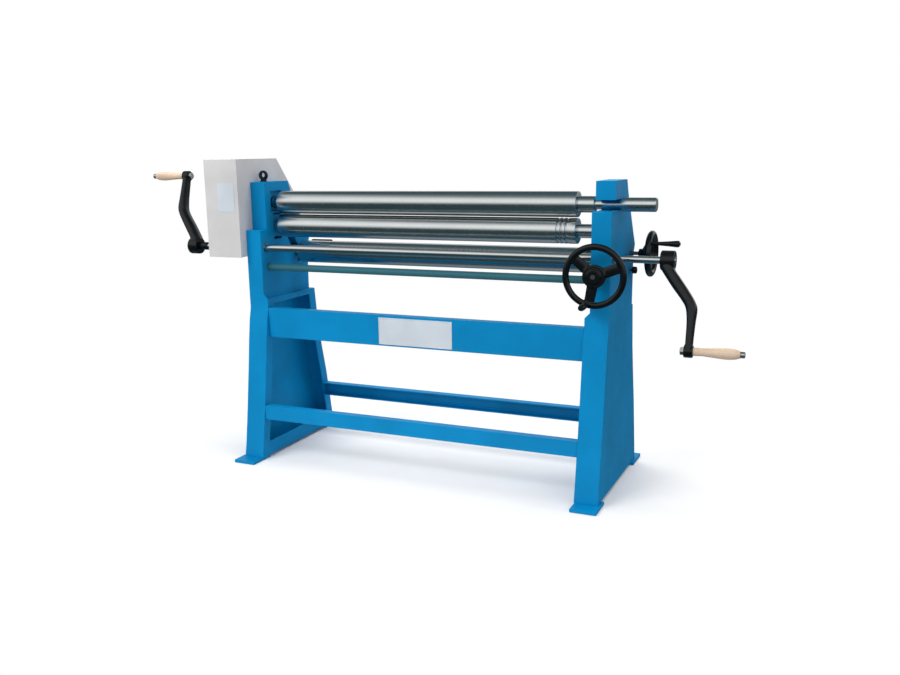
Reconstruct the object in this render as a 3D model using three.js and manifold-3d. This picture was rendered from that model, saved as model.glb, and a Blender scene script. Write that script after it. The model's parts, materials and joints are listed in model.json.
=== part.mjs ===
// Slip roll machine, hand cranked, with three rolls of 1250 mm working length.
// Millimetres. X runs along the rolls (+X towards the side handwheel), Y to the back, Z up.
// Sizes below are measured from the middle of the machine, the front face of the stands and the floor.
import * as THREE from "three";
import { mergeVertices } from "three/addons/utils/BufferGeometryUtils.js";
import Module from "manifold-3d";

const wasm = await Module();
wasm.setup();

// Stands
const STAND_X = 747;
const CHEEK_W = 68;
const CHEEK_X = STAND_X - CHEEK_W;
const LEG_X = 660;
const SHEET = 6;
const LIP = 45;
const TOP_LIP = 22;
const FOOT_T = 12;
const LEG_TOP = 658;
const POCKET_X = 740.5;
const GEAR_POCKET_X = 721.5;

// Rolls
const ROLL_R = 46;
const ROLL_X0 = -652.4;
const ROLL_X1 = 597.6;
const FRONT_Y = 126;
const UPPER_Z = 1043.6;
const ROLL_STEP = 94.1;
const LOWER_Z = UPPER_Z - ROLL_STEP;
const TOP_Z = UPPER_Z + 83.4;
const REAR_Y = 266.5;
const REAR_Z = 829;
const UPPER_JOURNAL_R = 18;
const SLOT_R = 19;
const LEFT_JOURNAL_R = 22;
const LOWER_JOURNAL_R = 17;
const REAR_JOURNAL_R = 11;
const PIVOT_X = -709;

// Drive
const SHAFT_Y = 36;
const SHAFT_Z = UPPER_Z - 178.6;
const SHAFT_R = 12.5;
const HUB_SHAFT_R = 20;
const DRIVE_MODULE = 4;
const DRIVE_X0 = -835;
const DRIVE_X1 = -800;
const PAIR_X0 = -790;
const PAIR_X1 = -755;

// Cranks
const THROW = 299;
const CRANK_TILT = 16.6;
const GRIP_LEN = 148.3;

// Front adjustment
const CROSS_Y = 49;
const CROSS_Z = 786;
const CROSS_R = 14;
const CROSS_END_R = 10;
const WORM_X = 707;
const WORM_Z = 814;
const WORM_R = 10;
const WORM_MODULE = 1.5;
const WORM_WHEEL_TEETH = 24;
const LIFT_MODULE = 3;
const LIFT_TEETH = 16;

// Rear adjustment
const SLOPE_Y = -0.565;
const SLOPE_Z = 0.825;
const SIDE_Y = 289;
const SIDE_Z = 858;
const REAR_CROSS_Y = 324;
const REAR_CROSS_Z = 862;
const REAR_MODULE = 2.2;
const REAR_TEETH = 16;

// Fits
const RUN = 0.2;
const FIXED = 0.05;
const GUIDE = 0.25;
const SEAT = 0.3;

// Facets round a plain turned piece
const ROUND = 16;

const group = new THREE.Group();
group.name = "slip_roll";

const material = (color, roughness, metalness) =>
  new THREE.MeshStandardMaterial({ color, roughness, metalness });
const blue = material(0x0f7fc4, 0.45, 0.1);
const teal = material(0x3f7d8e, 0.5, 0.1);
const guardGrey = material(0xc9c5c8, 0.5, 0.1);
const plateGrey = material(0xb9bec4, 0.4, 0.3);
const ground = material(0xb4b6b8, 0.28, 0.9);
const darkSteel = material(0x55595c, 0.4, 0.8);
const gearSteel = material(0x707477, 0.4, 0.8);
const black = material(0x17181a, 0.4, 0.2);
const zinc = material(0xa9abad, 0.35, 0.9);
const bronze = material(0xa67c3d, 0.4, 0.8);
const beech = material(0xe1c3a5, 0.6, 0);

// A closed solid from a three.js geometry.
function solid(geometry) {
  geometry.deleteAttribute("normal");
  geometry.deleteAttribute("uv");
  const merged = mergeVertices(geometry, 1e-4);
  return new wasm.Manifold(
    new wasm.Mesh({
      numProp: 3,
      vertProperties: merged.attributes.position.array,
      triVerts: new Uint32Array(merged.index.array),
    }),
  );
}

// One named piece of the machine.
function piece(name, body, mat) {
  const mesh = body.getMesh();
  const geometry = new THREE.BufferGeometry();
  geometry.setAttribute("position", new THREE.BufferAttribute(mesh.vertProperties, 3));
  geometry.setIndex(new THREE.BufferAttribute(mesh.triVerts, 1));
  geometry.computeVertexNormals();
  const made = new THREE.Mesh(geometry, mat);
  made.name = name;
  group.add(made);
}

function box(x0, x1, y0, y1, z0, z1) {
  const g = new THREE.BoxGeometry(Math.abs(x1 - x0), Math.abs(y1 - y0), Math.abs(z1 - z0));
  g.translate((x0 + x1) / 2, (y0 + y1) / 2, (z0 + z1) / 2);
  return solid(g);
}

// Matrices that carry an extrusion along its own Z to world X or world Y.
const ALONG_X = new THREE.Matrix4().set(0, 0, 1, 0, 1, 0, 0, 0, 0, 1, 0, 0, 0, 0, 0, 1);
const ALONG_Y = new THREE.Matrix4().set(0, 1, 0, 0, 0, 0, 1, 0, 1, 0, 0, 0, 0, 0, 0, 1);

// A flat outline in Y and Z, run from x0 to x1.
function prismX(points, x0, x1) {
  const low = Math.min(x0, x1);
  const shape = new THREE.Shape(points.map(([y, z]) => new THREE.Vector2(y, z)));
  const g = new THREE.ExtrudeGeometry(shape, { depth: Math.abs(x1 - x0), bevelEnabled: false });
  g.applyMatrix4(ALONG_X);
  g.translate(low, 0, 0);
  return solid(g);
}

// A flat outline in X and Z, run from y0 to y1.
function prismY(points, y0, y1) {
  const shape = new THREE.Shape(points.map(([x, z]) => new THREE.Vector2(z, x)));
  const g = new THREE.ExtrudeGeometry(shape, { depth: y1 - y0, bevelEnabled: false });
  g.applyMatrix4(ALONG_Y);
  g.translate(0, y0, 0);
  return solid(g);
}

function circle(y, z, r, sides) {
  const points = [];
  for (let i = 0; i < sides; i++) {
    const a = (2 * Math.PI * i) / sides;
    points.push([y + r * Math.cos(a), z + r * Math.sin(a)]);
  }
  return points;
}

const rodX = (x0, x1, y, z, r, sides = ROUND) => prismX(circle(y, z, r, sides), x0, x1);
const rodY = (y0, y1, x, z, r, sides = ROUND) => prismY(circle(x, z, r, sides), y0, y1);

// Bores, whose flats stand clear of the full circle
const clear = (r, sides = ROUND) => r / Math.cos(Math.PI / sides);
const boreX = (x0, x1, y, z, r, sides = ROUND) => rodX(x0, x1, y, z, clear(r, sides), sides);
const boreY = (y0, y1, x, z, r, sides = ROUND) => rodY(y0, y1, x, z, clear(r, sides), sides);

// A turned solid round a line along X, its profile given as [x, radius].
function turnX(profile, y, z, sides = ROUND) {
  const points = profile.map(([x, r]) => new THREE.Vector2(r, x));
  const g = new THREE.LatheGeometry(points, sides);
  g.applyMatrix4(new THREE.Matrix4().set(0, 1, 0, 0, 1, 0, 0, 0, 0, 0, 1, 0, 0, 0, 0, 1));
  g.translate(0, y, z);
  return outward(g);
}

// A turned solid round a line along Y, its profile given as [y, radius].
function turnY(profile, x, z, sides = ROUND) {
  const points = profile.map(([y, r]) => new THREE.Vector2(r, y));
  const g = new THREE.LatheGeometry(points, sides);
  g.translate(x, 0, z);
  return outward(g);
}

// The solid with its faces turned to the outside.
function outward(geometry) {
  geometry.deleteAttribute("normal");
  geometry.deleteAttribute("uv");
  const merged = mergeVertices(geometry, 1e-4);
  const p = merged.attributes.position;
  const index = merged.index.array;
  const keep = [];
  for (let i = 0; i < index.length; i += 3) {
    const [a, b, c] = [index[i], index[i + 1], index[i + 2]];
    if (a !== b && b !== c && c !== a) keep.push(a, b, c);
  }
  const v = (i) => new THREE.Vector3().fromBufferAttribute(p, i);
  let volume = 0;
  for (let i = 0; i < keep.length; i += 3) {
    volume += v(keep[i]).dot(v(keep[i + 1]).cross(v(keep[i + 2])));
  }
  if (volume < 0) keep.reverse();
  return new wasm.Manifold(
    new wasm.Mesh({
      numProp: 3,
      vertProperties: p.array,
      triVerts: new Uint32Array(keep),
    }),
  );
}

// A solid skin over a row of rings that have the same number of points.
function loft(rings) {
  const n = rings[0].length;
  const points = rings.flat();
  const first = points.length;
  const centre = (ring) =>
    ring.reduce((sum, q) => sum.add(q), new THREE.Vector3()).divideScalar(n);
  points.push(centre(rings[0]), centre(rings[rings.length - 1]));
  const faces = [];
  for (let k = 0; k + 1 < rings.length; k++) {
    for (let i = 0; i < n; i++) {
      const j = (i + 1) % n;
      const a = k * n;
      const b = a + n;
      faces.push(a + i, a + j, b + j, a + i, b + j, b + i);
    }
  }
  const last = (rings.length - 1) * n;
  for (let i = 0; i < n; i++) {
    const j = (i + 1) % n;
    faces.push(first, j, i, first + 1, last + i, last + j);
  }
  const g = new THREE.BufferGeometry().setFromPoints(points);
  g.setIndex(faces);
  return outward(g);
}

const deg = (a) => (a * Math.PI) / 180;

// Outline of a spur gear round (y, z): a tooth stands at the angle given in degrees.
function gearOutline(teeth, module, y, z, toothAt, thin) {
  const pitch = (teeth * module) / 2;
  const base = pitch * Math.cos(deg(20));
  const tip = pitch + module;
  const root = pitch - 1.25 * module;
  const half = (Math.PI * module) / 4 - thin / 2;
  const inv = (a) => Math.tan(a) - a;
  const halfAngle = (r) =>
    half / pitch + inv(deg(20)) - inv(Math.acos(Math.min(1, base / Math.max(r, base))));
  const points = [];
  for (let i = 0; i < teeth; i++) {
    const mid = deg(toothAt) + (2 * Math.PI * i) / teeth;
    const side = [[root, halfAngle(root)], [tip, halfAngle(tip)]];
    side.forEach(([r, a]) => points.push([r, mid - a]));
    side.reverse().forEach(([r, a]) => points.push([r, mid + a]));
  }
  return points.map(([r, a]) => [y + r * Math.cos(a), z + r * Math.sin(a)]);
}

// Angle of a tooth on the second gear, when the first has one at toothAt and the line of centres is known.
function meshAngle(toothAt, lineAngle, teethA, teethB) {
  const gap = lineAngle + 180 - ((toothAt - lineAngle) * teethA) / teethB;
  return gap + 180 / teethB;
}

// Outline of a coarse gear with long straight-sided teeth, which stay in mesh while the rolls part.
function longToothOutline(y, z, toothAt) {
  const points = [];
  const tooth = [[36, 5.2], [46, 4.4], [54, 2]];
  const teeth = 12;
  for (let i = 0; i < teeth; i++) {
    const mid = deg(toothAt) + (2 * Math.PI * i) / teeth;
    const at = (r, w) => {
      const a = mid + w / r;
      points.push([y + r * Math.cos(a), z + r * Math.sin(a)]);
    };
    tooth.forEach(([r, w]) => at(r, -w));
    [...tooth].reverse().forEach(([r, w]) => at(r, w));
  }
  return points;
}

// An outline moved inwards by t along every edge. The points run anticlockwise.
function inset(points, t) {
  const n = points.length;
  const lines = points.map(([y, z], i) => {
    const [y2, z2] = points[(i + 1) % n];
    const len = Math.hypot(y2 - y, z2 - z);
    const ny = -(z2 - z) / len;
    const nz = (y2 - y) / len;
    return { ny, nz, c: ny * (y + ny * t) + nz * (z + nz * t) };
  });
  return lines.map((b, i) => {
    const a = lines[(i + n - 1) % n];
    const det = a.ny * b.nz - a.nz * b.ny;
    return [(a.c * b.nz - a.nz * b.c) / det, (a.ny * b.c - a.c * b.ny) / det];
  });
}

const join = (...bodies) => bodies.reduce((a, b) => a.add(b));
const cut = (body, ...tools) => tools.reduce((a, b) => a.subtract(b), body);
const SIDES = [["left", -1], ["right", 1]];

// Legs: folded channels that open inwards, with return lips at front and rear
const LEG_FRONT = [[-85, 68], [-63, 208], [-38, 382], [-25, 486], [-12, 572]];
const LEG_REAR = [[379, 496], [401, 392], [432, 264], [472, 45]];
const LEG_OUTLINE = [
  [477, FOOT_T], [-96, FOOT_T], ...LEG_FRONT, [0, 620], [0, LEG_TOP], [360, LEG_TOP], ...LEG_REAR,
].reverse();
const LEG_MOUTH = [
  ...LEG_FRONT.map(([y, z]) => [y + LIP, z]), [LIP, LEG_TOP - TOP_LIP], [360 - LIP, LEG_TOP - TOP_LIP],
  ...LEG_REAR.slice(0, 3).map(([y, z]) => [y - LIP, z]), [468 - LIP, 68],
];
const HOLLOW_X0 = CHEEK_X + SHEET;
const HOLLOW_X1 = STAND_X - SHEET;
const HOLLOW_Y0 = 8;
const HOLLOW_Y1 = 330;
for (const [side, s] of SIDES) {
  const shell = prismX(LEG_OUTLINE, s * LEG_X, s * STAND_X);
  const inside = prismX(inset(LEG_OUTLINE, SHEET), s * (LEG_X + SHEET), s * HOLLOW_X1);
  const mouth = prismX(LEG_MOUTH, s * (LEG_X - 1), s * (LEG_X + SHEET + 1));
  const top = box(s * HOLLOW_X0, s * HOLLOW_X1, HOLLOW_Y0, HOLLOW_Y1, LEG_TOP - SHEET - 1, LEG_TOP + 1);
  piece(side + "_leg", cut(shell, inside, mouth, top), blue);
}

// Foot plates
const FOOT_X0 = 662;
const FOOT_X1 = 757;
const FEET = [["front", -158, -43], ["rear", 413, 540]];
for (const [side, s] of SIDES) {
  for (const [end, y0, y1] of FEET) {
    piece(side + "_" + end + "_foot", box(s * FOOT_X0, s * FOOT_X1, y0, y1, 0, FOOT_T), blue);
  }
}

// Apron: a folded panel between the legs, with a plain raised plate on it
const APRON_Z0 = 503.5;
const APRON_Z1 = 623.7;
const APRON_T = 5;
const APRON_DEEP = 38;
const PLATE_T = 1.5;
const BORDER = 4;
const BADGE = { x0: -151, x1: 157, z0: 510, z1: 615 };
piece(
  "apron_panel",
  cut(
    box(-LEG_X, LEG_X, 0, APRON_DEEP, APRON_Z0, APRON_Z1),
    box(-LEG_X - 1, LEG_X + 1, APRON_T, APRON_DEEP + 1, APRON_Z0 + APRON_T, APRON_Z1 - APRON_T),
  ),
  blue,
);
piece(
  "apron_nameplate",
  cut(
    box(BADGE.x0, BADGE.x1, -PLATE_T - 1, 0, BADGE.z0, BADGE.z1),
    box(
      BADGE.x0 + BORDER, BADGE.x1 - BORDER, -PLATE_T - 2, -PLATE_T,
      BADGE.z0 + BORDER, BADGE.z1 - BORDER,
    ),
  ),
  plateGrey,
);

// Lower ties: folded channels between the legs
const TIE_DEEP = 38;
const TIES = [["lower_front_tie", -62, 168.5, 226.5, 1], ["lower_rear_tie", 433, 161, 218, -1]];
for (const [name, face, z0, z1, inward] of TIES) {
  const back = face + inward * TIE_DEEP;
  const from = face + inward * APRON_T;
  const past = back + inward;
  piece(
    name,
    cut(
      box(-LEG_X, LEG_X, face, back, z0, z1),
      box(-LEG_X - 1, LEG_X + 1, from, past, z0 + APRON_T, z1 - APRON_T),
    ),
    blue,
  );
}

// Directions of the rear slope: t runs up along it, n runs away from it to the back
const SIDE_N = (SIDE_Y - REAR_Y) * SLOPE_Z - (SIDE_Z - REAR_Z) * SLOPE_Y;
const SIDE_T = (SIDE_Y - REAR_Y) * SLOPE_Y + (SIDE_Z - REAR_Z) * SLOPE_Z;
const onSlope = ([t, n]) => [REAR_Y + SLOPE_Y * t + SLOPE_Z * n, REAR_Z + SLOPE_Z * t - SLOPE_Y * n];
const slopeBox = (x0, x1, t0, t1, n0, n1) =>
  prismX([[t0, n0], [t1, n0], [t1, n1], [t0, n1]].map(onSlope), x0, x1);

// A slot with round ends through a plate that faces X
const slotX = (x0, x1, y, z0, z1, r) =>
  join(box(x0, x1, y - r, y + r, z0, z1), rodX(x0, x1, y, z0, r), rodX(x0, x1, y, z1, r));

// Cheeks: machined side plates with pockets for the bearing blocks and the adjusting gears
const FRONT_UPPER_Y = 46.7;
const LEFT_STEP_Z = 937;
const REAR_EDGE = [
  [217, TOP_Z], [238, 1081], [342, 919], [361, 893], [366, 885], [361, 871], [353, 861],
  [347, 840], [345, 675], [345, LEG_TOP],
];
const GUARD_HUB_HOLE = 32;
const WINDOW = {
  x: -730, y0: FRONT_Y - 41, y1: FRONT_Y + 41, z0: UPPER_Z - 35.6, z1: UPPER_Z + 46.4,
};
const LOWER_DOWN = 8;
const LOWER_UP = 2;
const BLOCK_HALF_Y = 27;
const BLOCK_HALF_Z = 45;
const REAR_DOWN = 15;
const REAR_UP = 80;
const REAR_HALF_T = 28;
const REAR_HALF_N = 20;
const RACK_DOWN = 77;
const RACK_ABOVE = 34;
const DRIVE_BUSH_R = 18;
const HUB_BUSH_R = 26;
const SIDE_ROD_R = 6.75;
const STUB_R = 7;
const REAR_CROSS_R = 8;
const WORM_SHAFT_R = 8;
const CLAMP_Y = 314;
const CLAMP_Z = 793;
const CLAMP_R = 5;
const RACK_Z0 = 746;
const RACK_BACK_Y = 112;
const LIFT_PITCH_R = (LIFT_TEETH * LIFT_MODULE) / 2;
const RACK_PITCH_Y = CROSS_Y + LIFT_PITCH_R;
const REAR_PITCH_R = (REAR_TEETH * REAR_MODULE) / 2;
const REAR_RACK_N = SIDE_N - REAR_PITCH_R;
const REAR_GEAR_TIP = REAR_PITCH_R + REAR_MODULE;

function cheekPockets(s) {
  const x = (v) => s * v;
  const IN = CHEEK_X - 1;
  const blockZ0 = LOWER_Z - BLOCK_HALF_Z - LOWER_DOWN - 2;
  const blockZ1 = LOWER_Z + BLOCK_HALF_Z + LOWER_UP + 3.5;
  const halfY = BLOCK_HALF_Y + GUIDE;
  return [
    box(x(HOLLOW_X0), x(HOLLOW_X1), HOLLOW_Y0, HOLLOW_Y1, LEG_TOP - 1, 722),
    boreX(x(IN), x(STAND_X + 1), SHAFT_Y, SHAFT_Z, DRIVE_BUSH_R),
    box(x(IN), x(POCKET_X), FRONT_Y - halfY, FRONT_Y + halfY, blockZ0, blockZ1),
    box(x(GEAR_POCKET_X), x(POCKET_X), 68, RACK_BACK_Y + 2, RACK_Z0 - LOWER_DOWN - 2,
      LOWER_Z - BLOCK_HALF_Z + LOWER_UP + 3),
    box(x(GEAR_POCKET_X), x(POCKET_X), 20, 80, CROSS_Z - 29, CROSS_Z + 29),
    boreX(x(IN), x(GEAR_POCKET_X + 1), CROSS_Y, CROSS_Z, CROSS_R + SEAT),
    boreX(x(POCKET_X - 1), x(745), CROSS_Y, CROSS_Z, CROSS_END_R + RUN),
    slopeBox(x(IN), x(POCKET_X), -REAR_DOWN - REAR_HALF_T - 1, REAR_UP + REAR_HALF_T + 1,
      -REAR_HALF_N - GUIDE, REAR_HALF_N + SEAT),
    slopeBox(x(GEAR_POCKET_X), x(POCKET_X), -REAR_DOWN - RACK_DOWN - 1, REAR_UP + RACK_ABOVE + 1,
      7, REAR_HALF_N + SEAT),
    rodX(x(GEAR_POCKET_X), x(POCKET_X), SIDE_Y, SIDE_Z, REAR_GEAR_TIP + 0.8),
    rodX(x(GEAR_POCKET_X), x(POCKET_X), REAR_CROSS_Y, REAR_CROSS_Z, REAR_GEAR_TIP + 0.8),
    boreX(x(700), x(GEAR_POCKET_X + 1), SIDE_Y, SIDE_Z, STUB_R + RUN),
    boreX(x(IN), x(GEAR_POCKET_X + 1), REAR_CROSS_Y, REAR_CROSS_Z, REAR_CROSS_R + RUN),
    boreX(x(POCKET_X - 1), x(745), REAR_CROSS_Y, REAR_CROSS_Z, STUB_R + RUN),
  ];
}
const gusset = (s) =>
  prismY([[s * CHEEK_X, LEG_TOP], [s * LEG_X, LEG_TOP], [s * CHEEK_X, LEG_TOP + 20]], 0, SHEET);
const LEFT_CHEEK = [
  [0, LEG_TOP], [0, LEFT_STEP_Z], [FRONT_UPPER_Y, LEFT_STEP_Z], [FRONT_UPPER_Y, TOP_Z], ...REAR_EDGE,
];
const RIGHT_CHEEK = [
  [0, LEG_TOP], [0, 1035], [FRONT_UPPER_Y, 1035], [FRONT_UPPER_Y, TOP_Z], ...REAR_EDGE,
];
piece(
  "left_cheek",
  cut(
    join(prismX(LEFT_CHEEK, -STAND_X, -CHEEK_X), gusset(-1)),
    ...cheekPockets(-1),
    box(-CHEEK_X + 1, WINDOW.x, WINDOW.y0, WINDOW.y1, WINDOW.z0, WINDOW.z1),
    boreX(WINDOW.x + 1, -STAND_X - 1, FRONT_Y, UPPER_Z, HUB_BUSH_R),
    slotX(-POCKET_X + 1, -STAND_X - 1, FRONT_Y, LOWER_Z - LOWER_DOWN, LOWER_Z + LOWER_UP, 18.5),
    boreX(-POCKET_X + 1, -745, SIDE_Y, SIDE_Z, STUB_R + RUN),
  ),
  blue,
);
const journalSlot = join(
  box(CHEEK_X - 1, STAND_X + 1, -1, FRONT_Y, UPPER_Z - SLOT_R, UPPER_Z + SLOT_R),
  boreX(CHEEK_X - 1, STAND_X + 1, FRONT_Y, UPPER_Z, SLOT_R, 40),
);
const WORM_POCKET_X = WORM_X - 14;
piece(
  "right_cheek",
  cut(
    join(prismX(RIGHT_CHEEK, CHEEK_X, STAND_X), gusset(1)),
    ...cheekPockets(1),
    journalSlot,
    box(WORM_POCKET_X, GEAR_POCKET_X + 1, 22, 78, CROSS_Z - 24, WORM_Z + 16),
    boreY(-1, 23, WORM_X, WORM_Z, WORM_SHAFT_R + RUN),
    boreX(POCKET_X - 1, STAND_X + 1, SIDE_Y, SIDE_Z, SIDE_ROD_R + RUN),
    boreX(738, STAND_X + 1, CLAMP_Y, CLAMP_Z, CLAMP_R + RUN, 16),
  ),
  blue,
);

// Shaft bushes and the lifting eye
const bush = (x0, x1, y, z, r0, r1) =>
  turnX([[x0, clear(r0)], [x1, clear(r0)], [x1, r1], [x0, r1], [x0, clear(r0)]], y, z);
for (const [side, s] of SIDES) {
  const made = bush(
    s * (CHEEK_X - 3), s * (STAND_X + 2), SHAFT_Y, SHAFT_Z, SHAFT_R + RUN, DRIVE_BUSH_R - FIXED,
  );
  piece(side + "_shaft_bush", made, bronze);
}
piece(
  "upper_gear_bush",
  bush(WINDOW.x, -STAND_X - 2, FRONT_Y, UPPER_Z, HUB_SHAFT_R + RUN, HUB_BUSH_R - FIXED),
  bronze,
);
const EYE_X = -717.5;
const EYE_Y = 100;
const EYE_R = 20;
const EYE_HOLE = 10;
piece(
  "lifting_eye",
  cut(
    join(
      rodY(EYE_Y - 6, EYE_Y + 6, EYE_X, TOP_Z + 25, EYE_R),
      prismY([[EYE_X - 9, TOP_Z], [EYE_X + 9, TOP_Z], [EYE_X + 7, TOP_Z + 14], [EYE_X - 7, TOP_Z + 14]],
        EYE_Y - 6, EYE_Y + 6),
      box(EYE_X - 13, EYE_X + 13, EYE_Y - 12, EYE_Y + 12, TOP_Z, TOP_Z + 5),
    ),
    rodY(EYE_Y - 7, EYE_Y + 7, EYE_X, TOP_Z + 27, EYE_HOLE),
  ),
  black,
);

// Gear guard: back plate with welded studs, and a folded cover that is open underneath
const GUARD_X0 = -906;
const GUARD_BACK_T = 3;
const GUARD_T = 1.5;
const GUARD_Y0 = FRONT_Y - 167;
const GUARD_Y1 = FRONT_Y + 246;
const GUARD_Z0 = SHAFT_Z - 35;
const GUARD_Z1 = UPPER_Z + 175.4;
const GUARD_OUTLINE = [
  [GUARD_Y0, GUARD_Z0], [GUARD_Y1, GUARD_Z0], [GUARD_Y1, UPPER_Z + 16.4], [GUARD_Y1 - 5.5, UPPER_Z + 29.4],
  [GUARD_Y1 - 48, UPPER_Z + 78.4], [GUARD_Y1 - 131, GUARD_Z1], [GUARD_Y0, GUARD_Z1],
];
const GUARD_STUDS = [
  [GUARD_Y0 + 19, GUARD_Z1 - 20], [GUARD_Y0 + 19, GUARD_Z0 + 22], [GUARD_Y1 - 22, GUARD_Z0 + 22],
  [GUARD_Y1 - 150, GUARD_Z1 - 23],
];
const STUD_R = 7;
const SCREW_R = 3;
const SCREW_HEAD_R = 6;
const GUARD_BACK_X = -STAND_X - GUARD_BACK_T;
const backPlate = cut(
  prismX(inset(GUARD_OUTLINE, GUARD_T + RUN), GUARD_BACK_X, -STAND_X),
  boreX(GUARD_BACK_X - 1, -STAND_X + 1, FRONT_Y, UPPER_Z, GUARD_HUB_HOLE),
  slotX(GUARD_BACK_X - 1, -STAND_X + 1, FRONT_Y, LOWER_Z - LOWER_DOWN, LOWER_Z + LOWER_UP, 20),
  boreX(GUARD_BACK_X - 1, -STAND_X + 1, SHAFT_Y, SHAFT_Z, DRIVE_BUSH_R + 2),
);
const studs = GUARD_STUDS.map(([y, z]) =>
  rodX(GUARD_X0 + GUARD_T, GUARD_BACK_X + 1, y, z, STUD_R, 12));
const studBores = GUARD_STUDS.map(([y, z]) =>
  boreX(GUARD_X0 - 1, GUARD_X0 + 22, y, z, SCREW_R + RUN, 12));
piece("guard_back_plate", cut(join(backPlate, ...studs), ...studBores), guardGrey);
piece(
  "guard_cover",
  cut(
    prismX(GUARD_OUTLINE, GUARD_X0, -STAND_X),
    prismX(inset(GUARD_OUTLINE, GUARD_T), GUARD_X0 + GUARD_T, -STAND_X + 1),
    box(GUARD_X0 + 12, -STAND_X + 1, GUARD_Y0 + GUARD_T, GUARD_Y1 - GUARD_T, GUARD_Z0 - 1, GUARD_Z0 + 10),
    rodX(GUARD_X0 - 1, GUARD_X0 + GUARD_T + 1, SHAFT_Y, SHAFT_Z, SHAFT_R + 3),
    ...studBores,
  ),
  guardGrey,
);
piece(
  "guard_data_plate",
  box(-845, -765, GUARD_Y0 - 1.2, GUARD_Y0, UPPER_Z - 30.6, UPPER_Z + 83.4),
  plateGrey,
);
GUARD_STUDS.forEach(([y, z], i) => {
  const x = GUARD_X0;
  const profile = [[x + 20, 0], [x + 20, SCREW_R], [x, SCREW_R], [x, SCREW_HEAD_R], [x - 3, 5], [x - 4, 0]];
  piece("guard_screw_" + (i + 1), turnX(profile, y, z, 12), zinc);
});

// Drive: shaft, pinion, large gear on the upper roll and the pair that turns the lower roll
const CRANK_HUB_X = 933.3;
const HUB_HALF = 23;
const SHAFT_LEFT = -1056;
const SHAFT_RIGHT = 959;
const SHAFT_MID_R = 15;
const SHOULDER_X = CHEEK_X - 4;
piece(
  "drive_shaft",
  turnX([
    [SHAFT_LEFT, 0], [SHAFT_LEFT, SHAFT_R - 1], [SHAFT_LEFT + 1, SHAFT_R], [-SHOULDER_X, SHAFT_R],
    [-SHOULDER_X, SHAFT_MID_R], [SHOULDER_X, SHAFT_MID_R], [SHOULDER_X, SHAFT_R],
    [SHAFT_RIGHT - 1, SHAFT_R], [SHAFT_RIGHT, SHAFT_R - 1], [SHAFT_RIGHT, 0],
  ], SHAFT_Y, SHAFT_Z),
  ground,
);
const BIG_TEETH = 80;
const PINION_TEETH = 20;
const DRIVE_LINE = (Math.atan2(SHAFT_Z - UPPER_Z, SHAFT_Y - FRONT_Y) * 180) / Math.PI;
const BACKLASH = 0.5;
const bigTooth = DRIVE_LINE;
const bigOutline = gearOutline(BIG_TEETH, DRIVE_MODULE, FRONT_Y, UPPER_Z, bigTooth, BACKLASH);
const pinionTooth = meshAngle(bigTooth, DRIVE_LINE, BIG_TEETH, PINION_TEETH);
const pinionOutline = gearOutline(
  PINION_TEETH, DRIVE_MODULE, SHAFT_Y, SHAFT_Z, pinionTooth, BACKLASH,
);
piece(
  "drive_pinion",
  cut(
    join(
      prismX(pinionOutline, DRIVE_X0, DRIVE_X1),
      rodX(DRIVE_X0 - 15, DRIVE_X0 + 1, SHAFT_Y, SHAFT_Z, 24),
    ),
    boreX(DRIVE_X0 - 16, DRIVE_X1 + 1, SHAFT_Y, SHAFT_Z, SHAFT_R + FIXED),
  ),
  gearSteel,
);
piece(
  "left_shaft_collar",
  cut(
    rodX(-1007, -966, SHAFT_Y, SHAFT_Z, 16),
    boreX(-1008, -965, SHAFT_Y, SHAFT_Z, SHAFT_R + FIXED),
  ),
  black,
);
const WEB_DEEP = 10;
const webRing = (x0, x1) => bush(x0, x1, FRONT_Y, UPPER_Z, 52, 142);
const TANG_T = 9;
const TANG_W = 30;
const TANG_X = -711;
const HUB_SHAFT_END = -729;
piece(
  "upper_drive_gear",
  join(
    cut(
      prismX(bigOutline, DRIVE_X0, DRIVE_X1),
      webRing(DRIVE_X0 - 1, DRIVE_X0 + WEB_DEEP),
      webRing(DRIVE_X1 - WEB_DEEP, DRIVE_X1 + 1),
    ),
    rodX(DRIVE_X1 - 1, PAIR_X0 - SEAT, FRONT_Y, UPPER_Z, 34),
    rodX(DRIVE_X0 - 12, HUB_SHAFT_END, FRONT_Y, UPPER_Z, HUB_SHAFT_R),
    box(HUB_SHAFT_END - 1, TANG_X, FRONT_Y - TANG_T / 2, FRONT_Y + TANG_T / 2,
      UPPER_Z - TANG_W / 2, UPPER_Z + TANG_W / 2),
  ),
  gearSteel,
);
piece(
  "upper_pair_gear",
  cut(
    prismX(longToothOutline(FRONT_Y, UPPER_Z, -90), PAIR_X0, PAIR_X1),
    boreX(PAIR_X0 - 1, PAIR_X1 + 1, FRONT_Y, UPPER_Z, HUB_SHAFT_R + FIXED),
  ),
  gearSteel,
);
piece(
  "lower_pair_gear",
  cut(
    prismX(longToothOutline(FRONT_Y, LOWER_Z, 90 + 15), PAIR_X0, PAIR_X1),
    boreX(PAIR_X0 - 1, PAIR_X1 + 1, FRONT_Y, LOWER_Z, LOWER_JOURNAL_R + FIXED),
  ),
  gearSteel,
);

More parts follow.
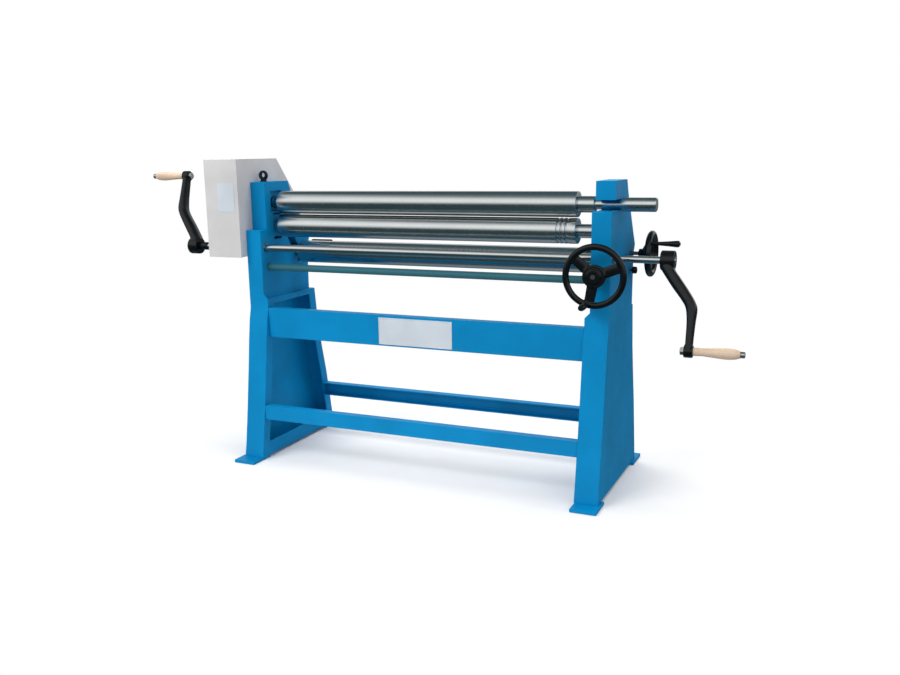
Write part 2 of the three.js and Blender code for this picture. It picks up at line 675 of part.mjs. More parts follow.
// Upper roll, its swivelling left bearing and the housing of that bearing
const SWIVEL_R = 32;
const SEAT_R = 33.2;
const SWIVEL_HALF = 12;
const arcX = (r, x0, x1, steps) => {
  const points = [];
  for (let i = 0; i <= steps; i++) {
    const x = x0 + ((x1 - x0) * i) / steps;
    points.push([PIVOT_X + x, Math.sqrt(r * r - x * x)]);
  }
  return points;
};
const HOUSING_X = -690;
piece(
  "upper_left_housing",
  cut(
    box(WINDOW.x + SEAT, HOUSING_X, WINDOW.y0 + SEAT, WINDOW.y1 - SEAT, WINDOW.z0, WINDOW.z1 - SEAT),
    turnX([[PIVOT_X - 24, 0], ...arcX(SEAT_R, -24, 24, 6), [PIVOT_X + 24, 0]], FRONT_Y, UPPER_Z),
  ),
  blue,
);
const ringBore = clear(LEFT_JOURNAL_R + RUN);
piece(
  "upper_swivel_ring",
  turnX([
    [PIVOT_X - SWIVEL_HALF, ringBore], ...arcX(SWIVEL_R, -SWIVEL_HALF, SWIVEL_HALF, 4),
    [PIVOT_X + SWIVEL_HALF, ringBore], [PIVOT_X - SWIVEL_HALF, ringBore],
  ], FRONT_Y, UPPER_Z),
  bronze,
);
const ROLL_SIDES = 28;
const NECK_R = 25;
const UPPER_NECK_R = 29;
const UPPER_NECK_X = 659;
const TAIL_R = 24.5;
const TAIL_X0 = 755;
const TAIL_X1 = 872;
const EDGE = 1.5;
const rollBody = [
  [ROLL_X0, ROLL_R - EDGE], [ROLL_X0 + EDGE, ROLL_R], [ROLL_X1 - EDGE, ROLL_R], [ROLL_X1, ROLL_R - EDGE],
];
const LEFT_END = -724.5;
const LEFT_NECK_X = PIVOT_X + 24.6;
piece(
  "upper_roll",
  cut(
    turnX([
      [LEFT_END, 0], [LEFT_END, LEFT_JOURNAL_R], [LEFT_NECK_X, LEFT_JOURNAL_R], [LEFT_NECK_X, NECK_R],
      [ROLL_X0, NECK_R], ...rollBody, [ROLL_X1, UPPER_NECK_R], [UPPER_NECK_X, UPPER_NECK_R],
      [UPPER_NECK_X, UPPER_JOURNAL_R], [TAIL_X0, UPPER_JOURNAL_R], [TAIL_X0, TAIL_R],
      [TAIL_X1 - 2, TAIL_R], [TAIL_X1, TAIL_R - 2], [TAIL_X1, 0],
    ], FRONT_Y, UPPER_Z, ROLL_SIDES),
    box(LEFT_END - 1, PIVOT_X, FRONT_Y - 7, FRONT_Y + 7, UPPER_Z - 30, UPPER_Z + 30),
  ),
  ground,
);

// Lower roll with three wire grooves, and its two bearing blocks with lift racks
const GROOVES = [529, 545, 562];
const GROOVE_W = 4;
const GROOVE_DEEP = 4;
const grooveProfile = GROOVES.flatMap((x) => [
  [x - GROOVE_W, ROLL_R], [x - 1, ROLL_R - GROOVE_DEEP],
  [x + 1, ROLL_R - GROOVE_DEEP], [x + GROOVE_W, ROLL_R],
]);
const LOWER_LEFT = -793;
const BLOCK_X0 = 682;
const BLOCK_X1 = 738;
const RACK_X0 = 723;
piece(
  "lower_roll",
  turnX([
    [LOWER_LEFT, 0], [LOWER_LEFT, LOWER_JOURNAL_R], [-676, LOWER_JOURNAL_R], [-676, NECK_R],
    [ROLL_X0, NECK_R], rollBody[0], rollBody[1], ...grooveProfile, rollBody[2], rollBody[3],
    [ROLL_X1, NECK_R], [676, NECK_R], [676, LOWER_JOURNAL_R], [BLOCK_X1 - 2, LOWER_JOURNAL_R],
    [BLOCK_X1 - 2, 0],
  ], FRONT_Y, LOWER_Z, ROLL_SIDES),
  ground,
);

// Toothed edge of a rack: pairs of distance along it and height above its pitch line
function rackEdge(module, gapAt, from, to) {
  const pitch = Math.PI * module;
  const half = pitch / 4 - 0.15;
  const slope = Math.tan(deg(20));
  const points = [];
  const first = Math.ceil((from - gapAt) / pitch);
  for (let k = first; gapAt + (k + 1) * pitch <= to; k++) {
    const c = gapAt + (k + 0.5) * pitch;
    const wide = half + slope * 1.25 * module;
    const narrow = half - slope * module;
    points.push([c - wide, -1.25 * module], [c - narrow, module]);
    points.push([c + narrow, module], [c + wide, -1.25 * module]);
  }
  return points;
}
const blockZ = LOWER_Z - BLOCK_HALF_Z;
const liftRack = rackEdge(LIFT_MODULE, CROSS_Z, RACK_Z0 + 1, 835);
const liftRackOutline = [
  [RACK_BACK_Y, blockZ + 1], [RACK_BACK_Y, RACK_Z0],
  [RACK_PITCH_Y + 1.25 * LIFT_MODULE, RACK_Z0],
  ...liftRack.map(([z, h]) => [RACK_PITCH_Y - h, z]),
  [RACK_PITCH_Y + 1.25 * LIFT_MODULE, blockZ + 1],
];
for (const [side, s] of SIDES) {
  piece(
    "lower_block_" + side,
    cut(
      join(
        box(s * BLOCK_X0, s * BLOCK_X1, FRONT_Y - BLOCK_HALF_Y, FRONT_Y + BLOCK_HALF_Y,
          blockZ, LOWER_Z + BLOCK_HALF_Z),
        prismX(liftRackOutline, s * RACK_X0, s * BLOCK_X1),
      ),
      boreX(s * (BLOCK_X0 - 1), s * (BLOCK_X1 + 1), FRONT_Y, LOWER_Z, LOWER_JOURNAL_R + RUN),
    ),
    blue,
  );
}

// Front adjustment: cross shaft with a lift pinion at each end, worm wheel, worm shaft
const CROSS_END = 744;
const CROSS_SHOULDER_X = WORM_X - 17;
piece(
  "front_cross_shaft",
  turnX([
    [-CROSS_END, 0], [-CROSS_END, CROSS_END_R], [-700, CROSS_END_R], [-700, CROSS_R],
    [CROSS_SHOULDER_X, CROSS_R], [CROSS_SHOULDER_X, CROSS_END_R], [CROSS_END, CROSS_END_R], [CROSS_END, 0],
  ], CROSS_Y, CROSS_Z),
  teal,
);
const liftOutline = gearOutline(LIFT_TEETH, LIFT_MODULE, CROSS_Y, CROSS_Z, 0, 0.3);
for (const [side, s] of SIDES) {
  piece(
    "lift_pinion_" + side,
    cut(
      prismX(liftOutline, s * RACK_X0, s * BLOCK_X1),
      boreX(s * (RACK_X0 - 1), s * (BLOCK_X1 + 1), CROSS_Y, CROSS_Z, CROSS_END_R + FIXED),
    ),
    gearSteel,
  );
}
const WHEEL_HALF = 7;
const wheelTooth = 90 + 180 / WORM_WHEEL_TEETH;
piece(
  "worm_wheel",
  cut(
    prismX(
      gearOutline(WORM_WHEEL_TEETH, WORM_MODULE, CROSS_Y, CROSS_Z, wheelTooth, 0.7),
      WORM_X - WHEEL_HALF, WORM_X + WHEEL_HALF,
    ),
    boreX(WORM_X - WHEEL_HALF - 1, WORM_X + WHEEL_HALF + 1, CROSS_Y, CROSS_Z, CROSS_END_R + FIXED),
  ),
  bronze,
);
const WORM_PITCH = Math.PI * WORM_MODULE;
const WORM_TURNS = 3;
const WORM_STEPS = 12;
const thread = [];
for (let i = 0; i <= WORM_TURNS * WORM_STEPS; i++) {
  const turn = i / WORM_STEPS - WORM_TURNS / 2;
  const a = 2 * Math.PI * turn - Math.PI / 2;
  const y = CROSS_Y + WORM_PITCH * turn;
  const at = (r, dy) => new THREE.Vector3(WORM_X + r * Math.cos(a), y + dy, WORM_Z + r * Math.sin(a));
  thread.push([at(7.6, -1.3), at(7.6, 1.3), at(WORM_R + WORM_MODULE, 0.45), at(WORM_R + WORM_MODULE, -0.45)]);
}
const WHEEL_Y = -58;
piece(
  "worm_shaft",
  join(
    rodY(WHEEL_Y - 20, 76, WORM_X, WORM_Z, WORM_SHAFT_R),
    loft(thread),
  ),
  darkSteel,
);

// Rear roll, its sliding blocks with racks, and the shafts that move them
piece(
  "rear_roll",
  turnX([
    [-BLOCK_X1 + 1, 0], [-BLOCK_X1 + 1, REAR_JOURNAL_R], [-676, REAR_JOURNAL_R], [-676, 20],
    [ROLL_X0, 20], ...rollBody, [ROLL_X1, 20], [676, 20], [676, REAR_JOURNAL_R],
    [BLOCK_X1 - 1, REAR_JOURNAL_R], [BLOCK_X1 - 1, 0],
  ], REAR_Y, REAR_Z, ROLL_SIDES),
  ground,
);
const rackRoot = REAR_RACK_N - 1.25 * REAR_MODULE;
const rearRackOutline = [
  [RACK_ABOVE, 8], [-RACK_DOWN, 8], [-RACK_DOWN, rackRoot],
  ...rackEdge(REAR_MODULE, SIDE_T, -RACK_DOWN, RACK_ABOVE).map(([t, h]) => [t, REAR_RACK_N + h]),
  [RACK_ABOVE, rackRoot],
].map(onSlope);
for (const [side, s] of SIDES) {
  piece(
    "rear_block_" + side,
    cut(
      join(
        slopeBox(s * BLOCK_X0, s * BLOCK_X1, -REAR_HALF_T, REAR_HALF_T, -REAR_HALF_N, rackRoot),
        prismX(rearRackOutline, s * RACK_X0, s * BLOCK_X1),
      ),
      boreX(s * (BLOCK_X0 - 1), s * (BLOCK_X1 + 1), REAR_Y, REAR_Z, REAR_JOURNAL_R + RUN),
    ),
    darkSteel,
  );
}
const NORMAL_ANGLE = (Math.atan2(-SLOPE_Y, SLOPE_Z) * 180) / Math.PI;
const REAR_LINE = (Math.atan2(REAR_CROSS_Z - SIDE_Z, REAR_CROSS_Y - SIDE_Y) * 180) / Math.PI;
const sideTooth = NORMAL_ANGLE + 180;
const crossTooth = meshAngle(sideTooth, REAR_LINE, REAR_TEETH, REAR_TEETH);
const sideOutline = gearOutline(REAR_TEETH, REAR_MODULE, SIDE_Y, SIDE_Z, sideTooth, 0.4);
const rearCrossOutline = gearOutline(
  REAR_TEETH, REAR_MODULE, REAR_CROSS_Y, REAR_CROSS_Z, crossTooth, 0.4,
);
for (const [side, s] of SIDES) {
  piece(
    "rear_cross_gear_" + side,
    cut(
      prismX(rearCrossOutline, s * RACK_X0, s * BLOCK_X1),
      boreX(s * (RACK_X0 - 1), s * (BLOCK_X1 + 1), REAR_CROSS_Y, REAR_CROSS_Z, STUB_R + FIXED),
    ),
    gearSteel,
  );
}
piece(
  "rear_cross_shaft",
  turnX([
    [-CROSS_END, 0], [-CROSS_END, STUB_R], [-RACK_X0 + 1, STUB_R], [-RACK_X0 + 1, REAR_CROSS_R],
    [RACK_X0 - 1, REAR_CROSS_R], [RACK_X0 - 1, STUB_R], [CROSS_END, STUB_R], [CROSS_END, 0],
  ], REAR_CROSS_Y, REAR_CROSS_Z),
  darkSteel,
);
piece(
  "rear_shaft_sleeve",
  cut(
    rodX(-636, -542, REAR_CROSS_Y, REAR_CROSS_Z, 14),
    boreX(-637, -541, REAR_CROSS_Y, REAR_CROSS_Z, REAR_CROSS_R + FIXED),
  ),
  black,
);
piece(
  "rear_lift_pinion_left",
  join(
    prismX(sideOutline, -BLOCK_X1, -RACK_X0),
    rodX(-CROSS_END, -701, SIDE_Y, SIDE_Z, STUB_R),
  ),
  gearSteel,
);
const ROD_END = 803;
piece(
  "rear_lift_pinion_right",
  join(
    prismX(sideOutline, RACK_X0, BLOCK_X1),
    rodX(701, RACK_X0 + 1, SIDE_Y, SIDE_Z, STUB_R),
    rodX(BLOCK_X1 - 1, ROD_END, SIDE_Y, SIDE_Z, SIDE_ROD_R),
  ),
  darkSteel,
);

// A round bar that tapers between two points
function bar(from, to, r0, r1, flat = 1) {
  const dir = to.clone().sub(from).normalize();
  const u = new THREE.Vector3(1, 0, 0).cross(dir);
  if (u.length() < 0.1) u.set(0, 0, 1).cross(dir);
  u.normalize();
  const w = dir.clone().cross(u);
  const ring = (c, r) =>
    [...Array(8).keys()].map((i) => {
      const a = (2 * Math.PI * i) / 8;
      return c.clone().addScaledVector(u, r * Math.cos(a)).addScaledVector(w, flat * r * Math.sin(a));
    });
  return loft([ring(from, r0), ring(to, r1)]);
}
const ringProfile = (at, r, halfWide, halfDeep) => {
  const points = [];
  for (let i = 0; i <= 8; i++) {
    const a = (2 * Math.PI * i) / 8;
    points.push([at + halfDeep * Math.sin(a), r + halfWide * Math.cos(a)]);
  }
  return points;
};

// Side handwheel: a dished web in a heavy rim, with a tapered grip
const SIDE_RIM_X = 825;
const SIDE_RIM_R = 71;
const SIDE_HUB_R = 17;
const SIDE_HUB_X0 = SIDE_RIM_X - 45;
const SIDE_HUB_X1 = SIDE_RIM_X - 23;
const SIDE_GRIP_ANGLE = 143;
const SIDE_GRIP_X0 = SIDE_RIM_X + 12.3;
const SIDE_GRIP_X1 = SIDE_RIM_X + 109;
const SIDE_WEB = [
  [SIDE_HUB_X1 - 12, 14], [SIDE_RIM_X - 3.5, SIDE_RIM_R - 6], [SIDE_RIM_X + 3.5, SIDE_RIM_R - 6],
  [SIDE_HUB_X1 - 4, 14], [SIDE_HUB_X1 - 12, 14],
];
const SIDE_GRIP_Y = SIDE_Y + SIDE_RIM_R * Math.cos(deg(SIDE_GRIP_ANGLE));
const SIDE_GRIP_Z = SIDE_Z + SIDE_RIM_R * Math.sin(deg(SIDE_GRIP_ANGLE));
const GRIP_PIN_R = 3;
const gripBore = clear(GRIP_PIN_R + RUN, 12);
piece(
  "side_handwheel",
  cut(
    join(
      turnX(ringProfile(SIDE_RIM_X, SIDE_RIM_R, 13, 11.5), SIDE_Y, SIDE_Z, 28),
      rodX(SIDE_HUB_X0, SIDE_HUB_X1, SIDE_Y, SIDE_Z, SIDE_HUB_R),
      turnX(SIDE_WEB, SIDE_Y, SIDE_Z, 28),
      rodX(SIDE_RIM_X, SIDE_GRIP_X1 + 3.4, SIDE_GRIP_Y, SIDE_GRIP_Z, GRIP_PIN_R, 12),
      rodX(SIDE_GRIP_X1 + 0.4, SIDE_GRIP_X1 + 3.4, SIDE_GRIP_Y, SIDE_GRIP_Z, 6, 12),
    ),
    boreX(SIDE_HUB_X0 - 1, SIDE_HUB_X1 + 2, SIDE_Y, SIDE_Z, SIDE_ROD_R + FIXED),
  ),
  black,
);
piece(
  "side_wheel_grip",
  turnX([
    [SIDE_GRIP_X0, gripBore], [SIDE_GRIP_X0, 5.5], [SIDE_GRIP_X0 + 30, 7], [SIDE_GRIP_X0 + 64, 9.5],
    [SIDE_GRIP_X1 - 12, 11.8], [SIDE_GRIP_X1 - 3, 11.8], [SIDE_GRIP_X1, 9.5], [SIDE_GRIP_X1, gripBore],
    [SIDE_GRIP_X0, gripBore],
  ], SIDE_GRIP_Y, SIDE_GRIP_Z, 12),
  black,
);
piece(
  "rear_clamp_knob",
  join(
    rodX(738.4, 756, CLAMP_Y, CLAMP_Z, CLAMP_R, 16),
    turnX([[752, 0], [752, 11], [754, 13], [766, 13], [769, 10], [769, 0]], CLAMP_Y, CLAMP_Z),
  ),
  black,
);

// Front handwheel with three broad flat spokes and a turned grip
const FRONT_RIM_R = 99.5;
const FRONT_SPOKE_R = FRONT_RIM_R - 6.5;
const FRONT_GRIP_ANGLE = -103;
const frontSpoke = (angle) => {
  const c = Math.cos(deg(angle));
  const k = Math.sin(deg(angle));
  return bar(
    new THREE.Vector3(WORM_X + 20 * c, WHEEL_Y, WORM_Z + 20 * k),
    new THREE.Vector3(WORM_X + FRONT_SPOKE_R * c, WHEEL_Y, WORM_Z + FRONT_SPOKE_R * k),
    5.5, 5, 3.6,
  );
};
const FRONT_GRIP_X = WORM_X + FRONT_RIM_R * Math.cos(deg(FRONT_GRIP_ANGLE));
const FRONT_GRIP_Z = WORM_Z + FRONT_RIM_R * Math.sin(deg(FRONT_GRIP_ANGLE));
const FRONT_PIN_R = 4;
const frontGripBore = clear(FRONT_PIN_R + RUN);
const HUB_Y0 = WHEEL_Y - 16;
const HUB_Y1 = WHEEL_Y + 36;
const HUB_DISC_R = 40;
const FRONT_GRIP_Y0 = WHEEL_Y - 82;
const FRONT_GRIP_Y1 = WHEEL_Y - 10;
const FRONT_PIN_Y = FRONT_GRIP_Y0 - 3;
piece(
  "front_handwheel",
  cut(
    join(
      turnY(ringProfile(WHEEL_Y, FRONT_RIM_R, 11.5, 9.5), WORM_X, WORM_Z, 32),
      turnY([
        [HUB_Y1, 0], [HUB_Y1, 18], [HUB_Y1 - 14, 20], [WHEEL_Y + 8, 30], [WHEEL_Y + 8, HUB_DISC_R],
        [WHEEL_Y - 8, HUB_DISC_R], [WHEEL_Y - 10, HUB_DISC_R - 2], [WHEEL_Y - 10, 26],
        [HUB_Y0, 24], [HUB_Y0, 0],
      ], WORM_X, WORM_Z),
      frontSpoke(-100), frontSpoke(20), frontSpoke(140),
      rodY(FRONT_PIN_Y, WHEEL_Y, FRONT_GRIP_X, FRONT_GRIP_Z, FRONT_PIN_R, 12),
      rodY(FRONT_PIN_Y, FRONT_GRIP_Y0 - 0.3, FRONT_GRIP_X, FRONT_GRIP_Z, 8, 12),
    ),
    boreY(HUB_Y0 - 1, HUB_Y1 + 1, WORM_X, WORM_Z, WORM_SHAFT_R + FIXED),
  ),
  black,
);
piece(
  "front_wheel_grip",
  turnY([
    [FRONT_GRIP_Y1, frontGripBore], [FRONT_GRIP_Y1, 7], [FRONT_GRIP_Y1 - 8, 8.5],
    [FRONT_GRIP_Y1 - 42, 11.5], [FRONT_GRIP_Y0 + 12, 11.5], [FRONT_GRIP_Y0 + 2, 9],
    [FRONT_GRIP_Y0, frontGripBore], [FRONT_GRIP_Y1, frontGripBore],
  ], FRONT_GRIP_X, FRONT_GRIP_Z),
  black,
);

// Cranks: cast arm with hub and end boss, spindle with nut and end cap, turned grip
const CRANK_OFFSET = 92.5;
const CRANK_HUB_R = 33.5;
const BOSS_R = 21.5;
const BOSS_HALF = 14.5;
const SPINDLE_R = 7;
const ARM = [
  [0, 0, 29, 20], [28, 2, 28.5, 22.5], [60, 24, 27, 24], [95, 50, 26.5, 24], [130, 76, 26, 21.5],
  [158, 90, 25, 18.4], [200, CRANK_OFFSET, 23.5, 14], [250, CRANK_OFFSET, 21.5, 12.5],
  [THROW, CRANK_OFFSET, 20, 12],
];
const GRIP_X = CRANK_OFFSET + BOSS_HALF + 0.4;
for (const [side, s] of SIDES) {
  const out = (v) => s * (side === "left" ? 1031.6 - CRANK_HUB_X + v : v);
  const dy = -s * Math.sin(deg(CRANK_TILT));
  const dz = -s * Math.cos(deg(CRANK_TILT));
  const endY = SHAFT_Y + THROW * dy;
  const endZ = SHAFT_Z + THROW * dz;
  const hub = CRANK_HUB_X;
  const rings = ARM.map(([u, off, w, h]) =>
    [...Array(12).keys()].map((i) => {
      const a = (2 * Math.PI * (i + 0.5)) / 12;
      const round = (v) => Math.sign(v) * Math.abs(v) ** 0.7;
      const across = w * round(Math.cos(a));
      const x = out(hub + off + h * round(Math.sin(a)));
      return new THREE.Vector3(x, SHAFT_Y + u * dy + across * dz, SHAFT_Z + u * dz - across * dy);
    }));
  piece(
    "crank_" + side,
    cut(
      join(
        loft(rings),
        rodX(out(hub - HUB_HALF), out(hub + HUB_HALF), SHAFT_Y, SHAFT_Z, CRANK_HUB_R),
        rodX(out(hub + CRANK_OFFSET - BOSS_HALF), out(hub + CRANK_OFFSET + BOSS_HALF), endY, endZ, BOSS_R),
      ),
      boreX(out(hub - HUB_HALF - 1), out(hub + 28), SHAFT_Y, SHAFT_Z, SHAFT_R + FIXED),
      boreX(out(hub + 60), out(hub + 120), endY, endZ, SPINDLE_R + FIXED),
    ),
    black,
  );
  const grip0 = hub + GRIP_X;
  const grip1 = grip0 + GRIP_LEN;
  const nut1 = hub + CRANK_OFFSET - BOSS_HALF - 0.3;
  piece(
    "grip_spindle_" + side,
    join(
      rodX(out(nut1 - 12), out(grip1 + 14), endY, endZ, SPINDLE_R),
      rodX(out(nut1 - 12), out(nut1), endY, endZ, 14, 6),
      turnX([
        [out(grip1 + 0.4), 0], [out(grip1 + 0.4), 10.5], [out(grip1 + 13), 10.5],
        [out(grip1 + 15), 8.5], [out(grip1 + 15), 0],
      ], endY, endZ),
    ),
    zinc,
  );
  const at = (k) => out(grip0 + k * GRIP_LEN);
  const bore = clear(SPINDLE_R + RUN);
  piece(
    "crank_grip_" + side,
    turnX([
      [at(0), bore], [at(0), 14], [at(0.25), 14.2], [at(0.45), 16.2], [at(0.7), 18.5], [at(0.88), 17],
      [at(1), 11], [at(1), bore],
      [at(0), bore],
    ], endY, endZ),
    beech,
  );
}

// The machine stands with the middle of its outer box at the origin
const outer = new THREE.Box3().setFromObject(group);
const middle = outer.getCenter(new THREE.Vector3());
group.position.set(-middle.x, -middle.y, -outer.min.z);

export default group;
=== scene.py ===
"""Slip roll machine, dressed for a picture: finishes, fine edges and smooth turned pieces over its solids."""
import json
import math

import bmesh
import bpy
from mathutils import Matrix, Vector
from mathutils.geometry import delaunay_2d_cdt


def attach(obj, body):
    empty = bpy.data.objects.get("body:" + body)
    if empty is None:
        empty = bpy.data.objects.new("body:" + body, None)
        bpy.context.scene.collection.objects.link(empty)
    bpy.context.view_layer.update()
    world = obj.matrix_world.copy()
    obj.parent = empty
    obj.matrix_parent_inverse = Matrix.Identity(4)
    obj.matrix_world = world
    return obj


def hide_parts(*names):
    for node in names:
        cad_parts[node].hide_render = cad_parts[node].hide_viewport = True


bl_info = {
    "name": "Slip roll machine",
    "version": (1, 0, 0),
    "blender": (4, 5, 0),
    "location": "3D View > Sidebar > Slip roll",
    "description": "Builds the visible pieces of a hand cranked slip roll machine",
    "category": "Object",
}

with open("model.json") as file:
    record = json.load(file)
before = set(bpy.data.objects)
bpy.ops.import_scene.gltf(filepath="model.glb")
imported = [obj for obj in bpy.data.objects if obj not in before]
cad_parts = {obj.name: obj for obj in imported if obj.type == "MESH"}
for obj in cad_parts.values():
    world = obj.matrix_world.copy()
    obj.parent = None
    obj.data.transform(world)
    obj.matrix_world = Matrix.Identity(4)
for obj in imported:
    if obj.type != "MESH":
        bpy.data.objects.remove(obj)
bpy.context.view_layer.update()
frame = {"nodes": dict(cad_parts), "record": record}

# The solids are centred on the floor. Sizes below are in millimetres from the front of the stands.
CENTRE_X = 49.15
CENTRE_Y = -191.0

# Middles of the rolls, the shafts, the wheels, the clamp knob and the lifting eye
FRONT_Y = 126.0
UPPER_Z = 1043.6
LOWER_Z = 949.5
REAR_Y, REAR_Z = 266.5, 829.0
SHAFT_Y, SHAFT_Z = 36.0, 865.0
SIDE_Y, SIDE_Z = 289.0, 858.0
WORM_X, WORM_Z = 707.0, 814.0
CROSS_Y, CROSS_Z = 49.0, 786.0
REAR_CROSS_Y, REAR_CROSS_Z = 324.0, 862.0
CLAMP_Y, CLAMP_Z = 314.0, 793.0
EYE_X, EYE_Z = -717.5, 1152.0

# Outer face of the gear guard, its screws, and the wire grooves of the lower roll
GUARD_X = -906
GUARD_SCREWS = [(-22, 1199), (-22, 852), (350, 852), (222, 1196)]
GROOVES = (529, 545, 562)

# Degrees between two faces from which the edge counts as sharp: on turned and cut pieces, on eased
# pieces, whose steps meet at less, and on castings
SHARP = 35
SHARP_AFTER_EASING = 50
SHARP_ON_CASTINGS = 60

# Degrees between two faces of a solid below which they are one flat
FLAT = 0.5

# Metres below which two points are one, in new shapes and in solids
SAME_POINT = 1e-7
SAME_POINT_IN_SOLIDS = 2e-6

# Square metres by which the triangles of a sound flat may differ from it
FLAT_SLACK = 2e-8


def at(x, y, z):
    """A point of the machine, in metres, in the frame of the solids."""
    return Vector(((x + CENTRE_X) / 1000, (y + CENTRE_Y) / 1000, z / 1000))


# Sizes and colours that a user may change

class SlipRollFinish(bpy.types.PropertyGroup):
    """Colours of the painted, cast and turned pieces"""
    blue: bpy.props.FloatVectorProperty(
        name="Machine blue", description="Enamel of the stands and cheeks", subtype="COLOR",
        size=3, min=0, max=1, default=(0.0006, 0.225, 0.50))
    # Painted shade: the cross shaft is enamelled in the machine blue, and this darker, greener copy of that
    # blue stands in for the shade that lies on it
    teal: bpy.props.FloatVectorProperty(
        name="Cross shaft", description="Enamel of the front cross shaft", subtype="COLOR",
        size=3, min=0, max=1, default=(0.028, 0.13, 0.165))
    guard: bpy.props.FloatVectorProperty(
        name="Guard grey", description="Enamel of the gear guard", subtype="COLOR",
        size=3, min=0, max=1, default=(0.585, 0.58, 0.585))
    enamel_black: bpy.props.FloatVectorProperty(
        name="Casting black", description="Enamel of cranks and handwheels", subtype="COLOR",
        size=3, min=0, max=1, default=(0.003, 0.0042, 0.005))
    steel: bpy.props.FloatVectorProperty(
        name="Ground steel", description="Surface of the rolls", subtype="COLOR",
        size=3, min=0, max=1, default=(0.53, 0.56, 0.565))
    beech: bpy.props.FloatVectorProperty(
        name="Beech", description="Turned wooden grips", subtype="COLOR",
        size=3, min=0, max=1, default=(0.70, 0.55, 0.42))


class SlipRollEdges(bpy.types.PropertyGroup):
    """Edge radii of sheet, plate and castings"""
    fold: bpy.props.FloatProperty(
        name="Fold radius", description="Outer radius of folded sheet", default=0.0032,
        min=0.0005, max=0.006, unit="LENGTH")
    plate: bpy.props.FloatProperty(
        name="Plate edge", description="Eased edge of thick plate", default=0.0025,
        min=0.0002, max=0.005, unit="LENGTH")
    trim: bpy.props.FloatProperty(
        name="Trim edge", description="Eased edge of thin trim", default=0.0005,
        min=0.0001, max=0.002, unit="LENGTH")


class SlipRollRolls(bpy.types.PropertyGroup):
    """Sizes of the three rolls"""
    radius: bpy.props.FloatProperty(
        name="Roll radius", description="Radius of the working face", default=0.046, unit="LENGTH")
    left: bpy.props.FloatProperty(
        name="Left end", description="Left end of the working face", default=-0.6524, unit="LENGTH")
    right: bpy.props.FloatProperty(
        name="Right end", description="Right end of the working face", default=0.5976, unit="LENGTH")
    groove: bpy.props.FloatProperty(
        name="Groove depth", description="Depth of the wire grooves", default=0.004, unit="LENGTH")


class SlipRollCranks(bpy.types.PropertyGroup):
    """Sizes of the two cranks"""
    throw: bpy.props.FloatProperty(
        name="Throw", description="Distance from shaft to grip", default=0.299, unit="LENGTH")
    tilt: bpy.props.FloatProperty(
        name="Tilt", description="Lean of the right crank from straight down",
        default=math.radians(16.6), subtype="ANGLE")
    hub: bpy.props.FloatProperty(
        name="Hub radius", description="Radius of the crank hub", default=0.0335, unit="LENGTH")
    grip_length: bpy.props.FloatProperty(
        name="Grip length", description="Length of the turned grip", default=0.1483, unit="LENGTH")


class SlipRollWheels(bpy.types.PropertyGroup):
    """Sizes of the two handwheels"""
    front_rim: bpy.props.FloatProperty(
        name="Front rim", description="Middle radius of the front rim", default=0.0995, unit="LENGTH")
    side_rim: bpy.props.FloatProperty(
        name="Side rim", description="Middle radius of the side rim", default=0.071, unit="LENGTH")


# Materials: each is a node tree with its own variation of colour, gloss and surface

def nodes_for(name):
    """A new material, its node tree and its shader."""
    made = bpy.data.materials.new(name)
    made.use_nodes = True
    tree = made.node_tree
    return made, tree, tree.nodes["Principled BSDF"]


def noise(tree, scale, detail=3.0, stretch=(1, 1, 1)):
    """Cloudy values that lie fixed on the piece."""
    where = tree.nodes.new("ShaderNodeTexCoord")
    place = tree.nodes.new("ShaderNodeMapping")
    place.inputs["Scale"].default_value = stretch
    spots = tree.nodes.new("ShaderNodeTexNoise")
    spots.inputs["Scale"].default_value = scale
    spots.inputs["Detail"].default_value = detail
    tree.links.new(where.outputs["Object"], place.inputs["Vector"])
    tree.links.new(place.outputs["Vector"], spots.inputs["Vector"])
    return spots.outputs["Fac"]


def between(tree, value, low, high):
    """The middle of a noise spread over a range of values."""
    ramp = tree.nodes.new("ShaderNodeMapRange")
    ramp.inputs["From Min"].default_value = 0.3
    ramp.inputs["From Max"].default_value = 0.7
    ramp.inputs["To Min"].default_value = low
    ramp.inputs["To Max"].default_value = high
    tree.links.new(value, ramp.inputs["Value"])
    return ramp.outputs["Result"]


def two_tone(tree, value, dark, light, start=0.35, end=0.65):
    """A blend of two colours along a noise."""
    ramp = tree.nodes.new("ShaderNodeValToRGB")
    ramp.color_ramp.elements[0].position = start
    ramp.color_ramp.elements[1].position = end
    ramp.color_ramp.elements[0].color = (*dark, 1)
    ramp.color_ramp.elements[1].color = (*light, 1)
    tree.links.new(value, ramp.inputs["Fac"])
    return ramp.outputs["Color"]


def bump(tree, shader, height, strength, distance):
    """Fine relief on the surface, its depth in metres."""
    relief = tree.nodes.new("ShaderNodeBump")
    relief.inputs["Strength"].default_value = strength
    relief.inputs["Distance"].default_value = distance
    tree.links.new(height, relief.inputs["Height"])
    tree.links.new(relief.outputs["Normal"], shader.inputs["Normal"])


def enamel(name, colour, gloss=0.36, grain=420, depth=0.00012, coat=0.15, shine=0.5):
    """Sprayed enamel: slight mottling, orange peel and uneven gloss."""
    made, tree, shader = nodes_for(name)
    dark = tuple(c * 0.9 for c in colour)
    light = tuple(min(1, c * 1.06) for c in colour)
    tree.links.new(two_tone(tree, noise(tree, 5, 4), dark, light), shader.inputs["Base Color"])
    tree.links.new(between(tree, noise(tree, 9, 5), gloss - 0.05, gloss + 0.08), shader.inputs["Roughness"])
    bump(tree, shader, noise(tree, grain, 2), 0.25, depth)
    shader.inputs["Specular IOR Level"].default_value = shine
    shader.inputs["Coat Weight"].default_value = coat
    shader.inputs["Coat Roughness"].default_value = 0.2
    return made


